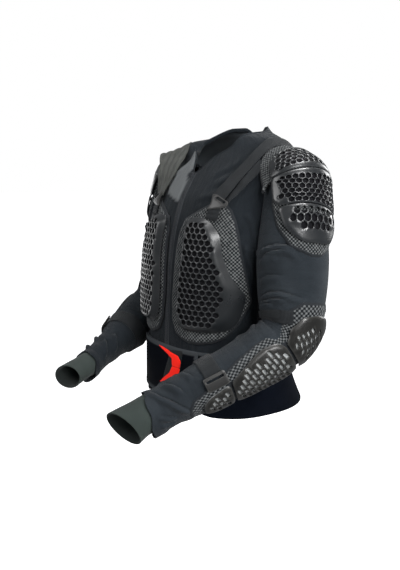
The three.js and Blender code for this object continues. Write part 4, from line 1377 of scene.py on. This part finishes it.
def strap_patch(name, arm, rows, lines):
    """Webbing round a sleeve: at each angle it runs between two places along the arm."""
    def place(across, up):
        angle = rows["angle"][0] + (rows["angle"][-1] - rows["angle"][0]) * across
        low, high, lift = (smooth(rows, "angle", key, angle) for key in ("low", "high", "lift"))
        at = low + (high - low) * up
        rim = np.minimum(up, 1 - up) * (high - low)
        waved = 0.4 * np.sin(np.radians(angle) * 7 + at * 0.1)
        rise = lift + STRAP_WALL + waved - 0.6 * (1 - smoothstep(rim, 0, 1.2))
        return on_arm(arm, at, np.radians(angle), rise), at, np.radians(angle) * SLEEVE_RADIUS

    piece = grid_piece(name, 90, lines, place, flip=arm.side < 0)
    thicken(piece, STRAP_WALL)
    smooth_shade(piece, 60)
    return stands_in(piece, WEBBING)


ELBOW_STRAP = table("angle low high lift", [
    (104, -48, -20, 7.2),
    (120, -49, -17, 7.0),
    (135, -50, -14, 5.0),
    (165, -48, -4, 3.6),
    (200, -46, -2, 3.6),
    (250, -48, -10, 3.6),
    (308, -50, -14, 3.6),
])
FOREARM_STRAP = table("angle low high lift", [
    (104, 146, 178, 3.6),
    (220, 146, 178, 3.6),
    (340, 146, 178, 3.6),
])
FOREARM_BUCKLE = SimpleNamespace(
    outline=[(82, 142), (110, 142), (110, 184), (82, 184)],
    slot=(0.6, 0.78), bar=4, lift=11.2, wall=3.0)


def make_arm_straps():
    for arm in ARMS:
        strap_patch(f"{arm.name}_elbow_strap", arm, ELBOW_STRAP, 24)
        strap_patch(f"{arm.name}_forearm_strap", arm, FOREARM_STRAP, 22)
        make_forearm_buckle(arm)


def make_forearm_buckle(arm):
    """A strap loop with one thin slot and a broad lower bar, moulded in one."""
    buckle = FOREARM_BUCKLE
    outline = turned(buckle.outline, ELBOW_REACH)
    low, high = outline.min(0), outline.max(0)
    left, right = (low[0] + (high[0] - low[0]) * share for share in buckle.slot)
    near, far = low[1] + buckle.bar, high[1] - buckle.bar
    box = [(left, near), (right, near), (right, far), (left, far)]
    slot = even(rounded(box, 1.5, 3), 2.0)
    place = lambda u, v, lift: on_arm(arm, v, u / ELBOW_REACH, lift)
    piece = plate(f"{arm.name}_forearm_buckle", rounded(outline, 4), [slot], place, even_top(buckle.lift),
                  buckle.wall, arm.side < 0, BUCKLE_NET, 0.6)
    stands_in(piece, BUCKLE)


STRAP_COLUMNS = "angle z lift width twist"
SHOULDER_STRAPS = {
    "left": table(STRAP_COLUMNS, [
        (35, -112, 10, 31, 0),
        (39, -92, 8, 27, 0),
        (45, -64, 6, 23, 0),
        (56, -33, 5, 21, 0),
        (72, -14, 5, 22, 0),
        (90, -7, 5, 25, 0),
        (108, -16, 5, 28, 0),
        (124, -50, 4, 30, 0),
        (136, -100, 2, 30, 0),
    ]),
    "right": table(STRAP_COLUMNS, [
        (24, -114, 8, 28, 0),
        (25, -94, 10, 40, 10),
        (27, -70, 13, 54, 20),
        (34, -46, 15, 58, 20),
        (48, -24, 14, 64, 30),
        (65, -18, 4, 58, 14),
        (88, -20, 4, 40, 0),
        (108, -34, 4, 28, 0),
        (124, -50, 4, 30, 0),
        (136, -100, 2, 30, 0),
    ]),
}
CUP_STRAPS = {
    "left": table(STRAP_COLUMNS, [
        (43.5, -115, 6, 8, 0),
        (48, -96, 4, 13, 0),
        (53, -76, 4, 16, 0),
        (60, -56, 4, 18, 0),
        (66, -44, 6, 18, 0),
    ]),
    "right": table(STRAP_COLUMNS, [
        (32, -115, 6, 12, 0),
        (38, -96, 4, 16, 0),
        (46, -76, 4, 18, 0),
        (57, -56, 4, 18, 0),
        (66, -44, 6, 18, 0),
    ]),
}
CHEST_TABS = {
    "left": table(STRAP_COLUMNS, [(35.5, -124, 10, 26, 0), (34.5, -150, 10, 26, 0)]),
    "right": table(STRAP_COLUMNS, [(25.5, -124, 10, 26, 0), (24.5, -150, 10, 26, 0)]),
}


def curve_through(rows, columns, t):
    """Even soft curve through rows of a table, t from 0 to 1."""
    keys = np.linspace(0, 1, len(rows[columns[0]]))
    return [smooth({"t": keys, "value": rows[column]}, "t", "value", t) for column in columns]


def ribbon(name, rows, side, columns, lines, material=WEBBING):
    """Webbing along a line over the body. Twist turns its face towards the wearer's left."""
    def middle(t):
        angle, z, lift = curve_through(rows, ("angle", "z", "lift"), np.clip(t, 0, 1))
        return on_body(side * np.radians(angle), z, lift)

    marks = np.linspace(0, 1, 200)
    length = np.concatenate([[0], np.cumsum(np.linalg.norm(np.diff(middle(marks), axis=0), axis=1))])

    def place(across, up):
        t = np.interp(up * length[-1], length, marks)
        angle, z, width, twist = curve_through(rows, ("angle", "z", "width", "twist"), t)
        normal = body_normal(side * np.radians(angle), z)
        ahead = unit(middle(t + 0.02) - middle(t - 0.02))
        flat_aside = unit(np.cross(ahead, normal))
        cos, sin = np.cos(np.radians(twist))[:, None], np.sin(np.radians(twist))[:, None]
        aside = flat_aside * cos - normal * sin
        face = normal * cos + flat_aside * sin
        off = (across - 0.5) * width
        rim = (0.5 - np.abs(across - 0.5)) * width
        creases = 0.03 * np.maximum(width - 25, 0) * np.sin(off * 0.45 + 5 * np.sin(up * 7))
        rise = STRAP_WALL + 0.4 * np.sin(up * 17) + creases - 0.5 * (1 - smoothstep(rim, 0, 1.2))
        return middle(t) + aside * off[:, None] + face * rise[:, None], up * length[-1], off

    piece = grid_piece(name, columns, lines, place)
    thicken(piece, STRAP_WALL)
    smooth_shade(piece, 60)
    return stands_in(piece, material)


STRAP_BUCKLE = SimpleNamespace(
    outline=[(101, -105), (111, -106), (138, -118), (136, -126), (124, -129), (97, -133), (103, -119)],
    slot=[(109, -112), (113, -109), (133, -118), (130, -121)],
    lift=14.0, wall=3.6, right_shift=28)


def make_strap_buckle(name, side):
    """A loop with one slot that the shoulder strap threads, tilted across the strap."""
    buckle = STRAP_BUCKLE
    shift = buckle.right_shift if side < 0 else 0
    place = lambda u, v, lift: on_body_arc(side * (u - shift), v, lift)
    slot = even(rounded(buckle.slot, 2, 4), 2.0)
    piece = plate(f"{name}_strap_buckle", rounded(buckle.outline, 3), [slot], place, even_top(buckle.lift),
                  buckle.wall, side < 0, BUCKLE_NET, 0.7)
    stands_in(piece, BUCKLE)


def make_shoulder_straps():
    for name, side in SIDES:
        # The right shoulder strap takes the lighter webbing copy, as painted light.
        ribbon(f"{name}_shoulder_strap", SHOULDER_STRAPS[name], side, 24, 130, STRAP_CLOTH[name])
        ribbon(f"{name}_cup_strap", CUP_STRAPS[name], side, 14, 40)
        ribbon(f"{name}_chest_tab", CHEST_TABS[name], side, 16, 12)
        make_strap_buckle(name, side)


# The belt

BELT = SimpleNamespace(top=-402, front=-510, back=-529, drop=(5, 45), low=1.6, wall=3)
FLAP = SimpleNamespace(lift=5.6, wall=2.4, outline=[(-130, -509), (72, -509), (103, -402), (-130, -402)])
BELT_STRIP = SimpleNamespace(lift=8.1, wall=1.2, outline=[
    (30, -408), (64, -405), (58, -440), (44, -490), (-6, -490), (1, -463)])
BELT_MARKS = SimpleNamespace(on_flap=8.2, on_strip=9.5, wall=1.2, bars={
    "wide": [(-17, -408), (2, -408), (52, -416), (60, -427), (57, -440), (34, -440), (33, -424)],
    "narrow": [(-17, -484), (-2, -482), (22, -474), (46, -456), (55, -450), (57, -440.4), (34, -440.4),
               (24, -456)],
})
BELT_BINDING = 7.0


def make_belt():
    def place(across, up):
        angle = across * 2 * math.pi
        from_front = np.degrees(np.arccos(np.cos(angle)))
        bottom = BELT.front + (BELT.back - BELT.front) * smoothstep(from_front, *BELT.drop)
        z = bottom + (BELT.top - bottom) * up
        rim = np.minimum(z - bottom, BELT.top - z)
        place.binding = 1 - smoothstep(BELT.top - z, BELT_BINDING - 0.5, BELT_BINDING + 0.5)
        lift = BELT.low + BELT.wall - 1.0 * (1 - smoothstep(rim, 0, 2))
        lift += 0.6 * place.binding + ripple(angle * BODY_RADIUS, z, 120, 0.8, 9) * smoothstep(rim, 6, 20)
        return on_body(angle, z, lift), angle * BODY_RADIUS, z

    belt = grid_piece("waist_belt", 240, 44, place)
    mark(belt, "binding", place.binding)
    weld(belt)
    thicken(belt, BELT.wall)
    smooth_shade(belt, 60)
    stands_in(belt, BELT_CLOTH)


def belt_plate(name, outline, lift, wall, slot, material, radius, ease=0.5, spacing=4.0):
    """A flat piece on the belt's front. On the belt's own cloth its edge has the raised binding."""
    outline = rounded(outline, radius)
    loop = even(outline, spacing)

    def binding(flat):
        return 1 - smoothstep(rim_distance(loop, flat), BELT_BINDING - 0.5, BELT_BINDING + 0.5)

    def top(flat):
        return lift(flat) + wall + (0.5 * binding(flat) if slot == "belt_cloth" else 0)

    piece = plate(name, outline, [], on_body_arc, top, wall, False, spacing, ease, binding)
    return stands_in(piece, material)


def make_belt_front():
    flap = belt_plate("belt_flap", FLAP.outline, even_top(FLAP.lift), FLAP.wall, "belt_cloth", BELT_CLOTH, 16)
    strip = rounded(BELT_STRIP.outline, 2)
    belt_plate("belt_strip", BELT_STRIP.outline, even_top(BELT_STRIP.lift), BELT_STRIP.wall, "webbing",
               WEBBING, 2)

    def on_strip(flat):
        over = np.where(inside(strip, flat), 1.0, -1.0) * rim_distance(strip, flat)
        return BELT_MARKS.on_flap + (BELT_MARKS.on_strip - BELT_MARKS.on_flap) * smoothstep(over, -3.5, -0.5)

    for part, outline in BELT_MARKS.bars.items():
        belt_plate(f"belt_mark_{part}", outline, on_strip, BELT_MARKS.wall, "red_print", RED_PRINT,
                   1.5, 0.4, 3.0)


# Camera, light and floor

CAMERA = SimpleNamespace(azimuth=57, elevation=9, distance=1.6, target=Vector((0, -0.04, -0.29)), lens=49.26)
FLOOR_LEVEL = -1.35
FLOOR_GLOW = 0.9
WORLD_GLOW = 0.36
LIGHTS = [
    # name, right, up, towards the camera, size, watts, lights surfaces, makes highlights
    ("left", -1.9, 0.9, 0.9, 0.9, 27, True, True),
    ("top", 0.1, 2.2, 0.3, 1.1, 25, True, True),
    ("rim", 1.7, 0.8, -0.9, 0.9, 25, True, True),
    ("fill", 1.2, 0.4, 2.0, 1.6, 125, True, False),
    ("front", 0.6, 1.0, 1.9, 0.5, 54, False, True),
    ("crown", 0.5, 2.1, 0.3, 0.5, 45, False, True),
    ("gleam", -1.1, 0.2, -1.6, 0.8, 7, False, True),
]


def view_axes():
    azimuth, elevation = math.radians(CAMERA.azimuth), math.radians(CAMERA.elevation)
    back = Vector((math.sin(azimuth) * math.cos(elevation), -math.cos(azimuth) * math.cos(elevation),
                   math.sin(elevation)))
    right = Vector((math.cos(azimuth), math.sin(azimuth), 0))
    return right, back.cross(right), back


def look_at(thing, start, target):
    thing.location = start
    thing.rotation_euler = (target - start).to_track_quat("-Z", "Y").to_euler()


def make_stage():
    right, up, back = view_axes()
    camera = bpy.data.objects.new("camera", bpy.data.cameras.new("camera"))
    camera.data.lens = CAMERA.lens
    camera.data.sensor_width = 36
    look_at(camera, CAMERA.target + back * CAMERA.distance, CAMERA.target)
    bpy.context.scene.collection.objects.link(camera)
    bpy.context.scene.camera = camera
    for name, aside, height, near, size, watts, lights, shines in LIGHTS:
        lamp = bpy.data.lights.new(name, "AREA")
        lamp.size = size
        lamp.energy = watts
        thing = bpy.data.objects.new(name, lamp)
        thing.visible_camera = False
        thing.visible_diffuse = lights
        thing.visible_glossy = shines
        look_at(thing, CAMERA.target + right * aside + up * height + back * near, CAMERA.target)
        bpy.context.scene.collection.objects.link(thing)
    deselect()
    bpy.ops.mesh.primitive_plane_add(size=60, location=(0, 0, FLOOR_LEVEL))
    floor = named(bpy.context.object, "floor")
    pale, shader = new_material("pale_floor", 0.9, (0.94, 0.94, 0.94), Emission_Strength=FLOOR_GLOW)
    shader.inputs["Emission Color"].default_value = (1, 1, 1, 1)
    floor.data.materials.append(pale)
    floor.visible_diffuse = False
    floor.visible_glossy = False
    world = bpy.data.worlds.new("studio")
    world.use_nodes = True
    bpy.context.scene.world = world
    nodes, links = world.node_tree.nodes, world.node_tree.links
    soft = nodes["Background"]
    soft.inputs["Color"].default_value = (0.95, 0.97, 1.0, 1)
    soft.inputs["Strength"].default_value = WORLD_GLOW
    white = nodes.new("ShaderNodeBackground")
    white.inputs["Color"].default_value = (1, 1, 1, 1)
    white.inputs["Strength"].default_value = 1.0
    seen = nodes.new("ShaderNodeLightPath")
    either = nodes.new("ShaderNodeMixShader")
    links.new(seen.outputs["Is Camera Ray"], either.inputs[0])
    links.new(soft.outputs[0], either.inputs[1])
    links.new(white.outputs[0], either.inputs[2])
    links.new(either.outputs[0], nodes["World Output"].inputs[0])
    bpy.context.scene.view_settings.view_transform = "Standard"


make_stage()
make_body()
make_neck_binding()
make_zip()
make_sleeves()
make_chest_guards()
make_shoulder_guards()
make_elbow_guards()
make_arm_straps()
make_shoulder_straps()
make_belt()
make_belt_front()
